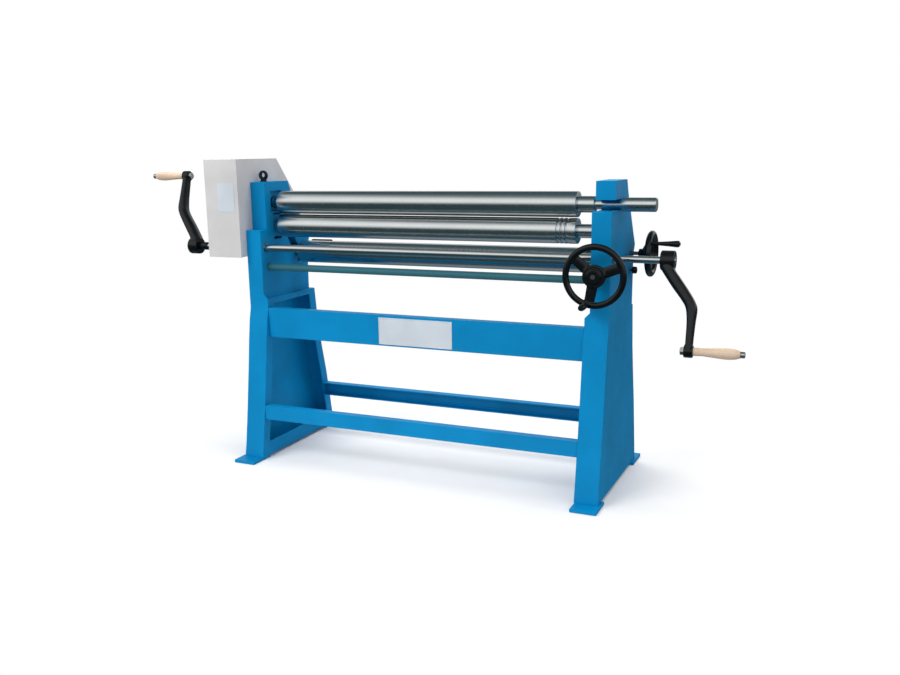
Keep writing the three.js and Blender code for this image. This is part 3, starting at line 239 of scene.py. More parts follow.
def casting(name, colour):
    """Enamel over a sand casting: soft lumps under the gloss."""
    made, tree, shader = nodes_for(name)
    light = tuple(c * 1.5 for c in colour)
    tree.links.new(two_tone(tree, noise(tree, 30, 5), colour, light), shader.inputs["Base Color"])
    tree.links.new(between(tree, noise(tree, 60, 4), 0.15, 0.27), shader.inputs["Roughness"])
    bump(tree, shader, noise(tree, 160, 4), 0.3, 0.0005)
    shader.inputs["Specular IOR Level"].default_value = 0.26
    return made


def metal(name, colour, gloss, stretch=(1, 1, 1), grain=200, relief=0.15, stain=0.85, depth=0.00002):
    """Machined steel or bronze, its tool marks drawn out by the stretch."""
    made, tree, shader = nodes_for(name)
    shader.inputs["Metallic"].default_value = 1
    dark = tuple(c * stain for c in colour)
    tree.links.new(two_tone(tree, noise(tree, 7, 6), dark, colour), shader.inputs["Base Color"])
    marks = noise(tree, grain, 3, stretch)
    tree.links.new(between(tree, marks, gloss - 0.05, gloss + 0.07), shader.inputs["Roughness"])
    bump(tree, shader, marks, relief, depth)
    return made


def wood(name, colour):
    """Lacquered beech with long grain and short dark flecks."""
    made, tree, shader = nodes_for(name)
    grain = noise(tree, 60, 6, (0.12, 1, 1))
    flecks = noise(tree, 420, 2, (0.08, 1, 1))
    mix = tree.nodes.new("ShaderNodeMix")
    mix.data_type = "RGBA"
    mix.blend_type = "MULTIPLY"
    mix.inputs["Factor"].default_value = 0.5
    dark = (colour[0] * 0.78, colour[1] * 0.7, colour[2] * 0.6)
    tree.links.new(two_tone(tree, grain, dark, colour, 0.3, 0.62), mix.inputs[6])
    tree.links.new(two_tone(tree, flecks, (0.8, 0.72, 0.64), (1, 1, 1), 0.28, 0.42), mix.inputs[7])
    tree.links.new(mix.outputs[2], shader.inputs["Base Color"])
    tree.links.new(between(tree, grain, 0.32, 0.46), shader.inputs["Roughness"])
    bump(tree, shader, flecks, 0.2, 0.0002)
    shader.inputs["Coat Weight"].default_value = 0.3
    shader.inputs["Coat Roughness"].default_value = 0.15
    return made


FINISH = {}


def make_finishes(look):
    """One material for each finish of the machine."""
    FINISH["blue"] = enamel("machine_blue", tuple(look.blue), 0.42, coat=0.0, shine=0.12)
    # Painted shade: the cross shaft gets a darker copy of the machine blue in place of the shade that lies on
    # it
    FINISH["teal"] = enamel("cross_shaft_painted_shade", tuple(look.teal), 0.4, coat=0, shine=0.3)
    FINISH["guard"] = enamel("guard_grey", tuple(look.guard), 0.46, coat=0, shine=0.25)
    FINISH["black"] = casting("black_casting", tuple(look.enamel_black))
    FINISH["roll"] = metal("ground_roll", tuple(look.steel), 0.2, (24, 1, 1), 12, 0.03, 0.95, 0.000001)
    FINISH["dark"] = metal("oiled_steel", (0.16, 0.165, 0.17), 0.36, (1, 1, 1), 240)
    FINISH["gear"] = metal("cut_gear_steel", (0.24, 0.245, 0.25), 0.34, (1, 6, 6), 120)
    FINISH["zinc"] = metal("zinc_plate", (0.50, 0.50, 0.49), 0.3, (1, 1, 1), 320)
    FINISH["bronze"] = metal("bearing_bronze", (0.48, 0.30, 0.11), 0.3, (20, 1, 1), 60)
    FINISH["plate"] = enamel("satin_sheet", (0.58, 0.64, 0.70), 0.34, 500, 0.00003)
    FINISH["beech"] = wood("turned_beech", tuple(look.beech))


# Shapes

class Shape:
    """Points and faces of one piece, put together from turned, lofted and straight forms."""

    def __init__(self):
        self.points = []
        self.faces = []

    def ring_skin(self, rings, closed=False):
        """A skin over rings of points, shut with a cap at both ends, or joined end to end."""
        start = len(self.points)
        count = len(rings[0])
        for ring in rings:
            self.points.extend(ring)
        pairs = len(rings) if closed else len(rings) - 1
        for k in range(pairs):
            a = start + k * count
            b = start + ((k + 1) % len(rings)) * count
            for i in range(count):
                j = (i + 1) % count
                self.faces.append((a + i, a + j, b + j, b + i))
        if not closed:
            last = start + (len(rings) - 1) * count
            self.faces.append(tuple(start + i for i in range(count)))
            self.faces.append(tuple(last + i for i in reversed(range(count))))
        return self

    def turned(self, profile, axis, centre, sides=64, closed=False):
        """Profile pairs are place along the axis and radius. The axis is X or Y."""
        rings = []
        for along, radius in profile:
            ring = []
            for i in range(sides):
                a = 2 * math.pi * i / sides
                c, s = radius * math.cos(a), radius * math.sin(a)
                if axis == "X":
                    ring.append(at(along, centre[0] + c, centre[1] + s))
                else:
                    ring.append(at(centre[0] + c, along, centre[1] + s))
            rings.append(ring)
        return self.ring_skin(rings, closed)

    def raw(self, name):
        """The shape as a plain object, its faces joined and turned outwards."""
        mesh = bpy.data.meshes.new(name)
        mesh.from_pydata([tuple(p) for p in self.points], [], self.faces)
        made = bpy.data.objects.new(name, mesh)
        bpy.context.scene.collection.objects.link(made)
        work = bmesh.new()
        work.from_mesh(mesh)
        bmesh.ops.remove_doubles(work, verts=work.verts, dist=SAME_POINT)
        bmesh.ops.recalc_face_normals(work, faces=work.faces)
        work.to_mesh(mesh)
        work.free()
        return made

    def piece(self, name, finish, body, *replaced, angle=SHARP):
        """The shape as a finished piece that rides on a body in place of its solids."""
        made = self.raw(name)
        dress(made, finish, angle)
        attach(made, body)
        if replaced:
            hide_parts(*replaced)
        return made


def settle(made):
    """Works the modifiers of a piece into its mesh."""
    bpy.context.view_layer.update()
    seen = made.evaluated_get(bpy.context.evaluated_depsgraph_get())
    mesh = bpy.data.meshes.new_from_object(seen)
    made.modifiers.clear()
    made.data = mesh


def cut_flats(mesh):
    """Cuts a winding flat into triangles that keep to its outline."""
    work = bmesh.new()
    work.from_mesh(mesh)
    covered = {}
    for corners in work.calc_loop_triangles():
        a, b, c = (corner.vert.co for corner in corners)
        face = corners[0].face
        covered[face] = covered.get(face, 0) + (b - a).cross(c - a).length / 2
    winding = [face for face, area in covered.items()
               if len(face.verts) > 4 and area > face.calc_area() + FLAT_SLACK]
    for face in winding:
        across = face.normal.orthogonal().normalized()
        up = face.normal.cross(across)
        corners = list(face.verts)
        height = face.normal * corners[0].co.dot(face.normal)
        # In millimetres. Kind 1 keeps the triangles that lie inside the outline.
        outline = [Vector((v.co.dot(across), v.co.dot(up))) * 1000 for v in corners]
        points, _, triangles, sources, _, _ = delaunay_2d_cdt(
            outline, [], [list(range(len(corners)))], 1, 1e-3)
        spots = [corners[same[0]] if same else
                 work.verts.new(height + (across * point.x + up * point.y) / 1000)
                 for point, same in zip(points, sources)]
        for triangle in triangles:
            work.faces.new([spots[i] for i in triangle])
        work.faces.remove(face)
    work.to_mesh(mesh)
    work.free()


def ease_edges(made, width):
    """Rounds the sharp edges of a piece and keeps its flats flat."""
    edge = made.modifiers.new("edge", "BEVEL")
    edge.width = width
    edge.segments = 2
    edge.limit_method = "ANGLE"
    edge.angle_limit = math.radians(SHARP)
    edge.miter_outer = "MITER_ARC"
    settle(made)
    cut_flats(made.data)
    made.data.shade_smooth()
    made.data.set_sharp_from_angle(angle=math.radians(SHARP_AFTER_EASING))
    flat = made.modifiers.new("flat", "WEIGHTED_NORMAL")
    flat.keep_sharp = True
    settle(made)


def dress(made, finish, angle=SHARP):
    """Gives a piece its finish, and smooth shading with sharp edges where it has none yet."""
    made.data.materials.clear()
    made.data.materials.append(FINISH[finish])
    if not made.data.has_custom_normals:
        made.data.shade_smooth()
        made.data.set_sharp_from_angle(angle=math.radians(angle))


def body_of_node(node):
    """The name of the body that a node of the solids belongs to."""
    return next(b for b, members in frame["record"]["behaviour"]["bodies"].items() if node in members)


def refine(node, finish, width):
    """The solid of a node, rebuilt with clean faces and eased edges."""
    mesh = frame["nodes"][node].data.copy()
    made = bpy.data.objects.new(node + "_dressed", mesh)
    bpy.context.scene.collection.objects.link(made)
    work = bmesh.new()
    work.from_mesh(mesh)
    bmesh.ops.remove_doubles(work, verts=work.verts, dist=SAME_POINT_IN_SOLIDS)
    bmesh.ops.dissolve_limit(
        work, angle_limit=math.radians(FLAT), verts=work.verts, edges=work.edges)
    work.to_mesh(mesh)
    work.free()
    ease_edges(made, width)
    dress(made, finish)
    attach(made, body_of_node(node))
    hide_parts(node)


def refinish(node, finish):
    """A solid whose shape is right gets its finish alone."""
    solid = frame["nodes"][node]
    solid.data.materials.clear()
    solid.data.materials.append(FINISH[finish])


def smooth_row(row, steps):
    """Values between the stations of a row, on a smooth curve."""
    out = []
    for k in range(len(row) - 1):
        p0, p1, p2 = row[max(0, k - 1)], row[k], row[k + 1]
        p3 = row[min(len(row) - 1, k + 2)]
        for i in range(steps):
            t = i / steps
            out.append([
                0.5 * (2 * b + (c - a) * t + (2 * a - 5 * b + 4 * c - d) * t * t
                       + (3 * b - a - 3 * c + d) * t ** 3)
                for a, b, c, d in zip(p0, p1, p2, p3)])
    out.append(list(row[-1]))
    return out


def soften(profile, reach=0.8, steps=3):
    """Rounds the corners between the ends of a turned profile."""
    out = [profile[0]]
    for before, here, after in zip(profile, profile[1:], profile[2:]):
        back = Vector(before) - Vector(here)
        ahead = Vector(after) - Vector(here)
        d = min(reach, back.length * 0.45, ahead.length * 0.45)
        start = Vector(here) + back.normalized() * d
        end = Vector(here) + ahead.normalized() * d
        for i in range(steps + 1):
            t = i / steps
            point = start * (1 - t) ** 2 + Vector(here) * 2 * t * (1 - t) + end * t * t
            out.append((point.x, point.y))
    out.append(profile[-1])
    return out


def hollow(profile, bore, reach=0.8):
    """A closed profile round a bore: the outer line from end to end, then back along the bore."""
    return soften([(profile[0][0], bore), *profile, (profile[-1][0], bore)], reach)


def rod_between(shape, start, end, r0, r1, flat=1.0, sides=24):
    """A round or flattened bar that tapers between two points given in millimetres."""
    a, b = Vector(start), Vector(end)
    run = (b - a).normalized()
    u = Vector((1, 0, 0)).cross(run)
    if u.length < 0.1:
        u = Vector((0, 0, 1)).cross(run)
    u.normalize()
    w = run.cross(u)
    rings = []
    for place, radius in ((a, r0), (b, r1)):
        ring = []
        for i in range(sides):
            t = 2 * math.pi * i / sides
            ring.append(at(*(place + u * radius * math.cos(t) + w * flat * radius * math.sin(t))))
        rings.append(ring)
    return shape.ring_skin(rings)


def wheel_rim(shape, axis, along, centre, radius, half_wide, half_deep, sides=96, around=24):
    """An oval bar bent to a ring."""
    rings = []
    for k in range(sides):
        t = 2 * math.pi * k / sides
        ring = []
        for i in range(around):
            a = 2 * math.pi * i / around
            r = radius + half_deep * math.cos(a)
            s = along + half_wide * math.sin(a)
            c, d = r * math.cos(t), r * math.sin(t)
            ring.append(at(s, centre[0] + c, centre[1] + d) if axis == "X"
                        else at(centre[0] + c, s, centre[1] + d))
        rings.append(ring)
    return shape.ring_skin(rings, closed=True)


def bore_out(made, *cutters):
    """Cuts other shapes out of a piece."""
    for cutter in cutters:
        tool = cutter.raw("cutter")
        step = made.modifiers.new("bore", "BOOLEAN")
        step.operation = "DIFFERENCE"
        step.solver = "EXACT"
        step.object = tool
        settle(made)
        bpy.data.objects.remove(tool)


def cast(name, forms, finish, body, *replaced, bores=(), voxel=0.0016, smooth=6):
    """Forms run together like a casting, with soft joints, then bored."""
    made = forms.raw(name)
    skin = made.modifiers.new("skin", "REMESH")
    skin.mode = "VOXEL"
    skin.voxel_size = voxel
    soft = made.modifiers.new("soft", "SMOOTH")
    soft.factor = 0.5
    soft.iterations = smooth
    settle(made)
    bore_out(made, *bores)
    dress(made, finish, SHARP_ON_CASTINGS)
    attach(made, body)
    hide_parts(*replaced)


class SLIPROLL_OT_stands(bpy.types.Operator):
    """Legs, feet, apron, ties and cheeks with folded and eased edges"""
    bl_idname = "sliproll.stands"
    bl_label = "Stands and cheeks"

    def execute(self, context):
        edges = context.scene.sliproll_edges
        for side in ("left", "right"):
            refine(side + "_leg", "blue", edges.fold)
            refine(side + "_cheek", "blue", edges.plate)
            refine(side + "_front_foot", "blue", edges.trim * 2)
            refine(side + "_rear_foot", "blue", edges.trim * 2)
        for node in ("apron_panel", "lower_front_tie", "lower_rear_tie"):
            refine(node, "blue", edges.fold)
        refine("apron_nameplate", "plate", edges.trim)
        return {"FINISHED"}


class SLIPROLL_OT_guard(bpy.types.Operator):
    """Gear guard with folded edges, a bare data plate and its screws"""
    bl_idname = "sliproll.guard"
    bl_label = "Gear guard"

    def execute(self, context):
        edges = context.scene.sliproll_edges
        refine("guard_back_plate", "guard", edges.trim)
        refine("guard_cover", "guard", edges.fold / 2)
        refine("guard_data_plate", "plate", edges.trim / 2)
        x = GUARD_X
        head = soften([(x + 20, 3), (x, 3), (x, 6), (x - 3.6, 4.6), (x - 4, 2)], 0.9)
        for i, (y, z) in enumerate(GUARD_SCREWS):
            name = "guard_screw_%d" % (i + 1)
            slot = Shape()
            rod_between(slot, (x - 3, y, z - 8), (x - 3, y, z + 8), 0.75, 0.75, 2.0, 4)
            made = Shape().turned(head, "X", (y, z), 40).piece(name + "_turned", "zinc", "frame", name)
            bore_out(made, slot)
            dress(made, "zinc")
        return {"FINISHED"}


def working_face(rolls, grooved=False, corner=5.0):
    """Profile of the working face of a roll, with rounded ends."""
    r = rolls.radius * 1000
    x0, x1 = rolls.left * 1000, rolls.right * 1000
    turn = [i * math.pi / 16 for i in range(9)]
    out = [(x0 + corner * (1 - math.sin(a)), r - corner * (1 - math.cos(a))) for a in reversed(turn)]
    if grooved:
        deep = rolls.groove * 1000
        for g in GROOVES:
            out += [(g - 4, r), (g - 3.4, r - 0.4), (g - 1.2, r - deep),
                    (g + 1.2, r - deep), (g + 3.4, r - 0.4), (g + 4, r)]
    edge = 2.0
    out += [(x1 - edge * (1 - math.sin(a)), r - edge * (1 - math.cos(a))) for a in turn]
    return out


class SLIPROLL_OT_rolls(bpy.types.Operator):
    """Upper, lower and rear roll, turned and ground"""
    bl_idname = "sliproll.rolls"
    bl_label = "Rolls"

    def execute(self, context):
        rolls = context.scene.sliproll_rolls
        x0, x1 = rolls.left * 1000, rolls.right * 1000
        upper = [
            (-724.5, 21), (-723.5, 22), (-684.4, 22), (-684.4, 25), (x0, 25), *working_face(rolls),
            (x1, 29), (658, 29), (659, 28), (659, 18), (755, 18), (755, 23.5), (756, 24.5), (869, 24.5),
            (872, 21.5),
        ]
        made = Shape().turned(upper, "X", (FRONT_Y, UPPER_Z), 128).piece(
            "upper_roll_turned", "roll", "upper_roller", "upper_roll")
        notch = Shape()
        rod_between(
            notch, (-717.3, FRONT_Y, UPPER_Z - 30), (-717.3, FRONT_Y, UPPER_Z + 30), 11.5, 11.5, 0.85, 4)
        bore_out(made, notch)
        dress(made, "roll")
        lower = [
            (-793, 16), (-792, 17), (-676, 17), (-676, 25), (x0, 25), *working_face(rolls, True),
            (x1, 25), (676, 25), (676, 17), (735, 17), (736, 16),
        ]
        Shape().turned(lower, "X", (FRONT_Y, LOWER_Z), 128).piece(
            "lower_roll_turned", "roll", "lower_roller", "lower_roll")
        rear = [
            (-737, 10), (-736, 11), (-676, 11), (-676, 20), (x0, 20), *working_face(rolls),
            (x1, 20), (676, 20), (676, 11), (736, 11), (737, 10),
        ]
        Shape().turned(rear, "X", (REAR_Y, REAR_Z), 128).piece(
            "rear_roll_turned", "roll", "rear_roller", "rear_roll")
        return {"FINISHED"}


class SLIPROLL_OT_shafts(bpy.types.Operator):
    """Drive shaft, cross shafts, bushes, collar and sleeve"""
    bl_idname = "sliproll.shafts"
    bl_label = "Shafts and bushes"

    def execute(self, context):
        drive = [
            (-1056, 11.2), (-1054.7, 12.5), (-675, 12.5), (-675, 14.4), (-674.4, 15),
            (674.4, 15), (675, 14.4), (675, 12.5), (957.7, 12.5), (959, 11.2),
        ]
        Shape().turned(drive, "X", (SHAFT_Y, SHAFT_Z)).piece(
            "drive_shaft_turned", "roll", "drive", "drive_shaft")
        cross = soften([
            (-744, 9), (-743, 10), (-700, 10), (-700, 14), (690, 14), (690, 10), (743, 10), (744, 9)], 0.6)
        # Painted shade: the blue cross shaft takes the darker copy of the machine blue
        Shape().turned(cross, "X", (CROSS_Y, CROSS_Z)).piece(
            "front_cross_shaft_turned", "teal", "front_cross", "front_cross_shaft")
        rear = soften([
            (-744, 6.4), (-743, 7), (-722, 7), (-722, 8), (722, 8), (722, 7), (743, 7), (744, 6.4)], 0.4)
        Shape().turned(rear, "X", (REAR_CROSS_Y, REAR_CROSS_Z)).piece(
            "rear_cross_shaft_turned", "dark", "rear_cross", "rear_cross_shaft")
        for side, s in (("left", -1), ("right", 1)):
            bush = hollow([(s * 676, 17.9), (s * 749, 17.9)], 12.8)
            Shape().turned(bush, "X", (SHAFT_Y, SHAFT_Z), closed=True).piece(
                side + "_shaft_bush_turned", "bronze", "frame", side + "_shaft_bush")
        gear_bush = hollow([(-749, 25.9), (-730, 25.9)], 20.3)
        Shape().turned(gear_bush, "X", (FRONT_Y, UPPER_Z), closed=True).piece(
            "upper_gear_bush_turned", "bronze", "frame", "upper_gear_bush")
        collar = hollow([(-1007, 16), (-966, 16)], 12.6, 1.5)
        Shape().turned(collar, "X", (SHAFT_Y, SHAFT_Z), closed=True).piece(
            "left_shaft_collar_turned", "black", "drive", "left_shaft_collar")
        sleeve = hollow([(-636, 14), (-542, 14)], 8.1, 1.5)
        Shape().turned(sleeve, "X", (REAR_CROSS_Y, REAR_CROSS_Z), closed=True).piece(
            "rear_shaft_sleeve_turned", "black", "rear_cross", "rear_shaft_sleeve")
        return {"FINISHED"}


# Stations along a crank arm: distance from the shaft, offset outwards, half width and half thickness
ARM = [
    (0, 0, 29, 20), (28, 2, 28.5, 22.5), (60, 24, 27, 24), (95, 50, 26.5, 24), (130, 76, 26, 21.5),
    (158, 90, 25, 18.4), (200, 92.5, 23.5, 14), (250, 92.5, 21.5, 12.5), (299, 92.5, 20, 12),
]
ARM_SIDES = 32

# Distance of each crank's hub from the middle of the machine, and from there to the middle of its end boss
HUB_OUT = {"left": 1031.6, "right": 933.3}
BOSS_OUT = 92.5
BOSS_HALF = 14.5

# Outline of a crank grip: place along its length from 0 to 1, and radius
GRIP = [
    (0.0, 13.2), (0.012, 13.9), (0.08, 13.8), (0.2, 13.1), (0.45, 15.9), (0.7, 18.45), (0.88, 16.8),
    (1.0, 11.5),
]


def rounded(value, power=0.7):
    """A sine or cosine spread outwards, which makes a circle more like a rounded square."""
    return math.copysign(abs(value) ** power, value)


def crank_arm(s, hub, dy, dz):
    """The cranked arm of the left (s = -1) or right (s = 1) crank, along the direction dy, dz."""
    rings = []
    for u, off, wide, thick in smooth_row(ARM, 4):
        ring = []
        for i in range(ARM_SIDES):
            a = 2 * math.pi * (i + 0.5) / ARM_SIDES
            across = wide * rounded(math.cos(a))
            x = s * (hub + off + thick * rounded(math.sin(a)))
            ring.append(at(x, SHAFT_Y + u * dy + across * dz, SHAFT_Z + u * dz - across * dy))
        rings.append(ring)
    return Shape().ring_skin(rings)


class SLIPROLL_OT_cranks(bpy.types.Operator):
    """Cast cranks, with spindles, nuts and turned wooden grips"""
    bl_idname = "sliproll.cranks"
    bl_label = "Cranks and grips"

    def execute(self, context):
        cranks = context.scene.sliproll_cranks
        throw, tilt, hub_r = cranks.throw * 1000, cranks.tilt, cranks.hub * 1000
        length = cranks.grip_length * 1000
        for side, s in (("left", -1), ("right", 1)):
            hub = HUB_OUT[side]
            dy, dz = -s * math.sin(tilt), -s * math.cos(tilt)
            end = (SHAFT_Y + throw * dy, SHAFT_Z + throw * dz)
            shape = crank_arm(s, hub, dy, dz)
            shape.turned([(s * (hub - 23), hub_r - 2), (s * (hub - 21), hub_r), (s * (hub + 21), hub_r),
                          (s * (hub + 23), hub_r - 2)], "X", (SHAFT_Y, SHAFT_Z))
            mid = hub + BOSS_OUT
            shape.turned([(s * (mid - BOSS_HALF), 20), (s * (mid - 13), 21.5), (s * (mid + 13), 21.5),
                          (s * (mid + BOSS_HALF), 20)], "X", end)
            shaft_bore = Shape().turned(
                [(s * (hub - 30), 12.6), (s * (hub + 28), 12.6)], "X", (SHAFT_Y, SHAFT_Z))
            pin_bore = Shape().turned([(s * (hub + 60), 7.1), (s * (hub + 120), 7.1)], "X", end)
            cast("crank_%s_cast" % side, shape, "black", "drive", "crank_" + side,
                 bores=(shaft_bore, pin_bore))
            grip0 = mid + BOSS_HALF + 0.4
            grip1 = grip0 + length
            nut1 = mid - BOSS_HALF - 0.3
            pin = Shape()
            pin.turned([(s * (nut1 - 13), 5.8), (s * (nut1 - 12), 7), (s * (grip1 + 14), 7)], "X", end)
            pin.turned([(s * (nut1 - 12), 12.6), (s * (nut1 - 10.8), 14), (s * nut1, 14)], "X", end, 6)
            cap = [(s * (grip1 + 0.4), 9.8), (s * (grip1 + 1), 10.5), (s * (grip1 + 12.6), 10.5),
                   (s * (grip1 + 14.2), 9.6), (s * (grip1 + 15), 7.6)]
            pin.turned(cap, "X", end)
            pin.piece("grip_spindle_%s_turned" % side, "zinc", "drive", "grip_spindle_" + side)
            outer = [(s * (grip0 + t * length), r) for t, r in smooth_row(GRIP, 8)]
            outer = [(s * grip0, 7.4), *outer, (s * grip1, 7.4)]
            Shape().turned(outer, "X", end, 96, closed=True).piece(
                "crank_grip_%s_turned" % side, "beech", side + "_grip", "crank_grip_" + side, angle=50)
        return {"FINISHED"}


class SLIPROLL_OT_handwheels(bpy.types.Operator):
    """Front and side handwheel with their turned grips, and the clamp knob"""
    bl_idname = "sliproll.handwheels"
    bl_label = "Handwheels"

    def execute(self, context):
        wheels = context.scene.sliproll_wheels
        front, side = wheels.front_rim * 1000, wheels.side_rim * 1000
        centre = (WORM_X, WORM_Z)
        shape = wheel_rim(Shape(), "Y", -58, centre, front, 9.5, 11.5)
        hub = [(-22, 18), (-36, 20), (-50, 30), (-50, 40), (-66, 40), (-68, 38), (-68, 26), (-74, 24)]
        shape.turned(hub, "Y", centre)
        for angle in (-100, 20, 140):
            c, k = math.cos(math.radians(angle)), math.sin(math.radians(angle))
            rod_between(shape, (WORM_X + 20 * c, -58, WORM_Z + 20 * k),
                        (WORM_X + 93 * c, -58, WORM_Z + 93 * k), 5.5, 5, 3.6, 40)
        a = math.radians(-103)
        knob = (WORM_X + front * math.cos(a), WORM_Z + front * math.sin(a))
        bore = Shape().turned([(-76, 8.1), (-20, 8.1)], "Y", centre)
        cast("front_handwheel_cast", shape, "black", "front_wheel", "front_handwheel", bores=(bore,))
        pin = Shape().turned([(-143, 3), (-142.4, 8), (-140.3, 8), (-140.3, 4), (-60, 4)], "Y", knob, 40)
        pin.piece("front_grip_pin", "black", "front_wheel")
        grip = hollow([
            (-68, 7), (-76, 8.5), (-93, 10.4), (-110, 11.4), (-128, 11.5), (-135, 10.2), (-140, 7)], 4.3, 3)
        Shape().turned(grip, "Y", knob, closed=True).piece(
            "front_wheel_grip_turned", "black", "front_grip", "front_wheel_grip", angle=50)
        centre = (SIDE_Y, SIDE_Z)
        shape = wheel_rim(Shape(), "X", 825, centre, side, 11.5, 13)
        shape.turned([(780, 16), (781, 17), (801, 17), (802, 16)], "X", centre)
        web = [(790, 14), (821.5, side - 6), (828.5, side - 6), (798, 14)]
        shape.turned(web, "X", centre, 96, closed=True)
        a = math.radians(143)
        knob = (SIDE_Y + side * math.cos(a), SIDE_Z + side * math.sin(a))
        bore = Shape().turned([(778, 6.9), (804, 6.9)], "X", centre)
        cast("side_handwheel_cast", shape, "black", "side_wheel", "side_handwheel", bores=(bore,))
        pin = Shape().turned([(825, 3), (934.4, 3), (934.4, 6), (936.8, 6), (937.4, 3)], "X", knob, 40)
        pin.piece("side_grip_pin", "black", "side_wheel")
        grip = hollow([(837.3, 5.5), (852, 6), (867, 7), (884, 8.2), (901, 9.5), (914, 10.8), (924, 11.7),
                       (931, 11.7), (934, 9.5)], 3.4, 2)
        Shape().turned(grip, "X", knob, closed=True).piece(
            "side_wheel_grip_turned", "black", "side_grip", "side_wheel_grip", angle=50)
        knob_body = [(738.4, 5), (752, 5), (752, 10), (753, 12), (755, 13), (765, 13), (768, 11.5), (769, 8)]
        Shape().turned(knob_body, "X", (CLAMP_Y, CLAMP_Z)).piece(
            "rear_clamp_knob_turned", "black", "clamp", "rear_clamp_knob")
        return {"FINISHED"}


class SLIPROLL_OT_works(bpy.types.Operator):
    """Finish of the gears and the worm, eased edges of the bearing blocks, and the lifting eye"""
    bl_idname = "sliproll.works"
    bl_label = "Gears and bearing blocks"

    def execute(self, context):
        for node in ("drive_pinion", "upper_drive_gear", "upper_pair_gear", "lower_pair_gear",
                     "lift_pinion_left", "lift_pinion_right", "rear_cross_gear_left",
                     "rear_cross_gear_right", "rear_lift_pinion_left"):
            refinish(node, "gear")
        for node in ("worm_shaft", "rear_lift_pinion_right"):
            refinish(node, "dark")
        ease = context.scene.sliproll_edges.trim
        for node in ("upper_left_housing", "lower_block_left", "lower_block_right"):
            refine(node, "blue", ease)
        for node in ("rear_block_left", "rear_block_right"):
            refine(node, "dark", ease)
        for node in ("upper_swivel_ring", "worm_wheel"):
            refinish(node, "bronze")
        shape = Shape().turned(
            [(94, 17.5), (95.5, 20), (104.5, 20), (106, 17.5)], "Y", (EYE_X, EYE_Z), 64)
        foot = [(-13, -25), (13, -25), (13, -20.5), (8, -20), (7, -11), (-7, -11), (-8, -20), (-13, -20.5)]
        shape.ring_skin([[at(EYE_X + x, y, EYE_Z + z) for x, z in foot] for y in (91, 109)])
        hole = Shape().turned([(80, 10), (120, 10)], "Y", (EYE_X, EYE_Z + 2), 48)
        cast("lifting_eye_forged", shape, "black", "frame", "lifting_eye",
             bores=(hole,), voxel=0.001, smooth=4)
        return {"FINISHED"}


# The camera of the photograph: its place in millimetres, its turn in radians, and in picture points
# its focal length, the middle of its view and the size of the picture
CAMERA_PLACE = (1519.9, -3117.5, 1235.6)
CAMERA_TURN = (0.4421, 0.2182, -0.01865)
FOCAL_LENGTH = 929.5
VIEW_MIDDLE = (425.1, 357.6)
PICTURE = (900, 675)
SENSOR = 36


def shot_camera():
    """The camera that sees the machine as the photograph shows it."""
    yaw, pitch, roll = CAMERA_TURN
    look = Vector((-math.sin(yaw) * math.cos(pitch), math.cos(yaw) * math.cos(pitch), -math.sin(pitch)))
    level = Vector((math.cos(yaw), math.sin(yaw), 0))
    over = level.cross(look)
    right = math.cos(roll) * level + math.sin(roll) * over
    up = right.cross(look)
    turn = Matrix((right, up, -look)).transposed().to_4x4()
    data = bpy.data.cameras.new("shot")
    data.sensor_width = SENSOR
    data.lens = FOCAL_LENGTH * SENSOR / PICTURE[0]
    data.shift_x = (PICTURE[0] / 2 - VIEW_MIDDLE[0]) / PICTURE[0]
    data.shift_y = (VIEW_MIDDLE[1] - PICTURE[1] / 2) / PICTURE[0]
    data.clip_start = 0.1
    data.clip_end = 60
    made = bpy.data.objects.new("shot", data)
    made.matrix_world = Matrix.Translation(at(*CAMERA_PLACE)) @ turn
    bpy.context.scene.collection.objects.link(made)
    bpy.context.scene.camera = made


def lamp(name, place, target, size, power):
    """A soft lamp turned to a target, in metres, that polished pieces don't mirror."""
    data = bpy.data.lights.new(name, "AREA")
    data.shape = "RECTANGLE"
    data.size, data.size_y = size
    data.energy = power
    made = bpy.data.objects.new(name, data)
    look = Vector(target) - Vector(place)
    turn = look.to_track_quat("-Z", "Y").to_matrix().to_4x4()
    made.matrix_world = Matrix.Translation(Vector(place)) @ turn
    made.visible_glossy = False
    bpy.context.scene.collection.objects.link(made)
    return made


def ramp_of(tree, value, stops):
    """Light levels at places along a value from 0 to 1. The dark ones are blue-green, as in a workshop."""
    ramp = tree.nodes.new("ShaderNodeValToRGB")
    ends = ramp.color_ramp.elements

    def shade(level):
        return (level * 0.6, level * 1.15, level * 1.3, 1) if level < 0.2 else (level, level, level, 1)

    ends[0].position, ends[1].position = stops[0][0], stops[-1][0]
    ends[0].color, ends[1].color = shade(stops[0][1]), shade(stops[-1][1])
    for place, level in stops[1:-1]:
        ends.new(place).color = shade(level)
    tree.links.new(value, ramp.inputs["Fac"])
    return ramp.outputs["Color"]


# Light levels from the floor of the room at 0 to its top at 1
ROOM = {
    "soft": [(0.0, 0.3), (0.5, 0.3), (0.65, 0.42), (1.0, 0.46)],
    "front": [
        (0.0, 0.05), (0.43, 0.04), (0.5, 0.2), (0.58, 0.7), (0.7, 0.95), (0.84, 0.75), (0.94, 0.21),
        (1.0, 0.08)],
    "back": [(0.0, 0.28), (0.2, 0.1), (0.46, 0.04), (0.53, 0.6), (0.7, 0.6), (0.8, 0.06), (1.0, 0.08)],
}


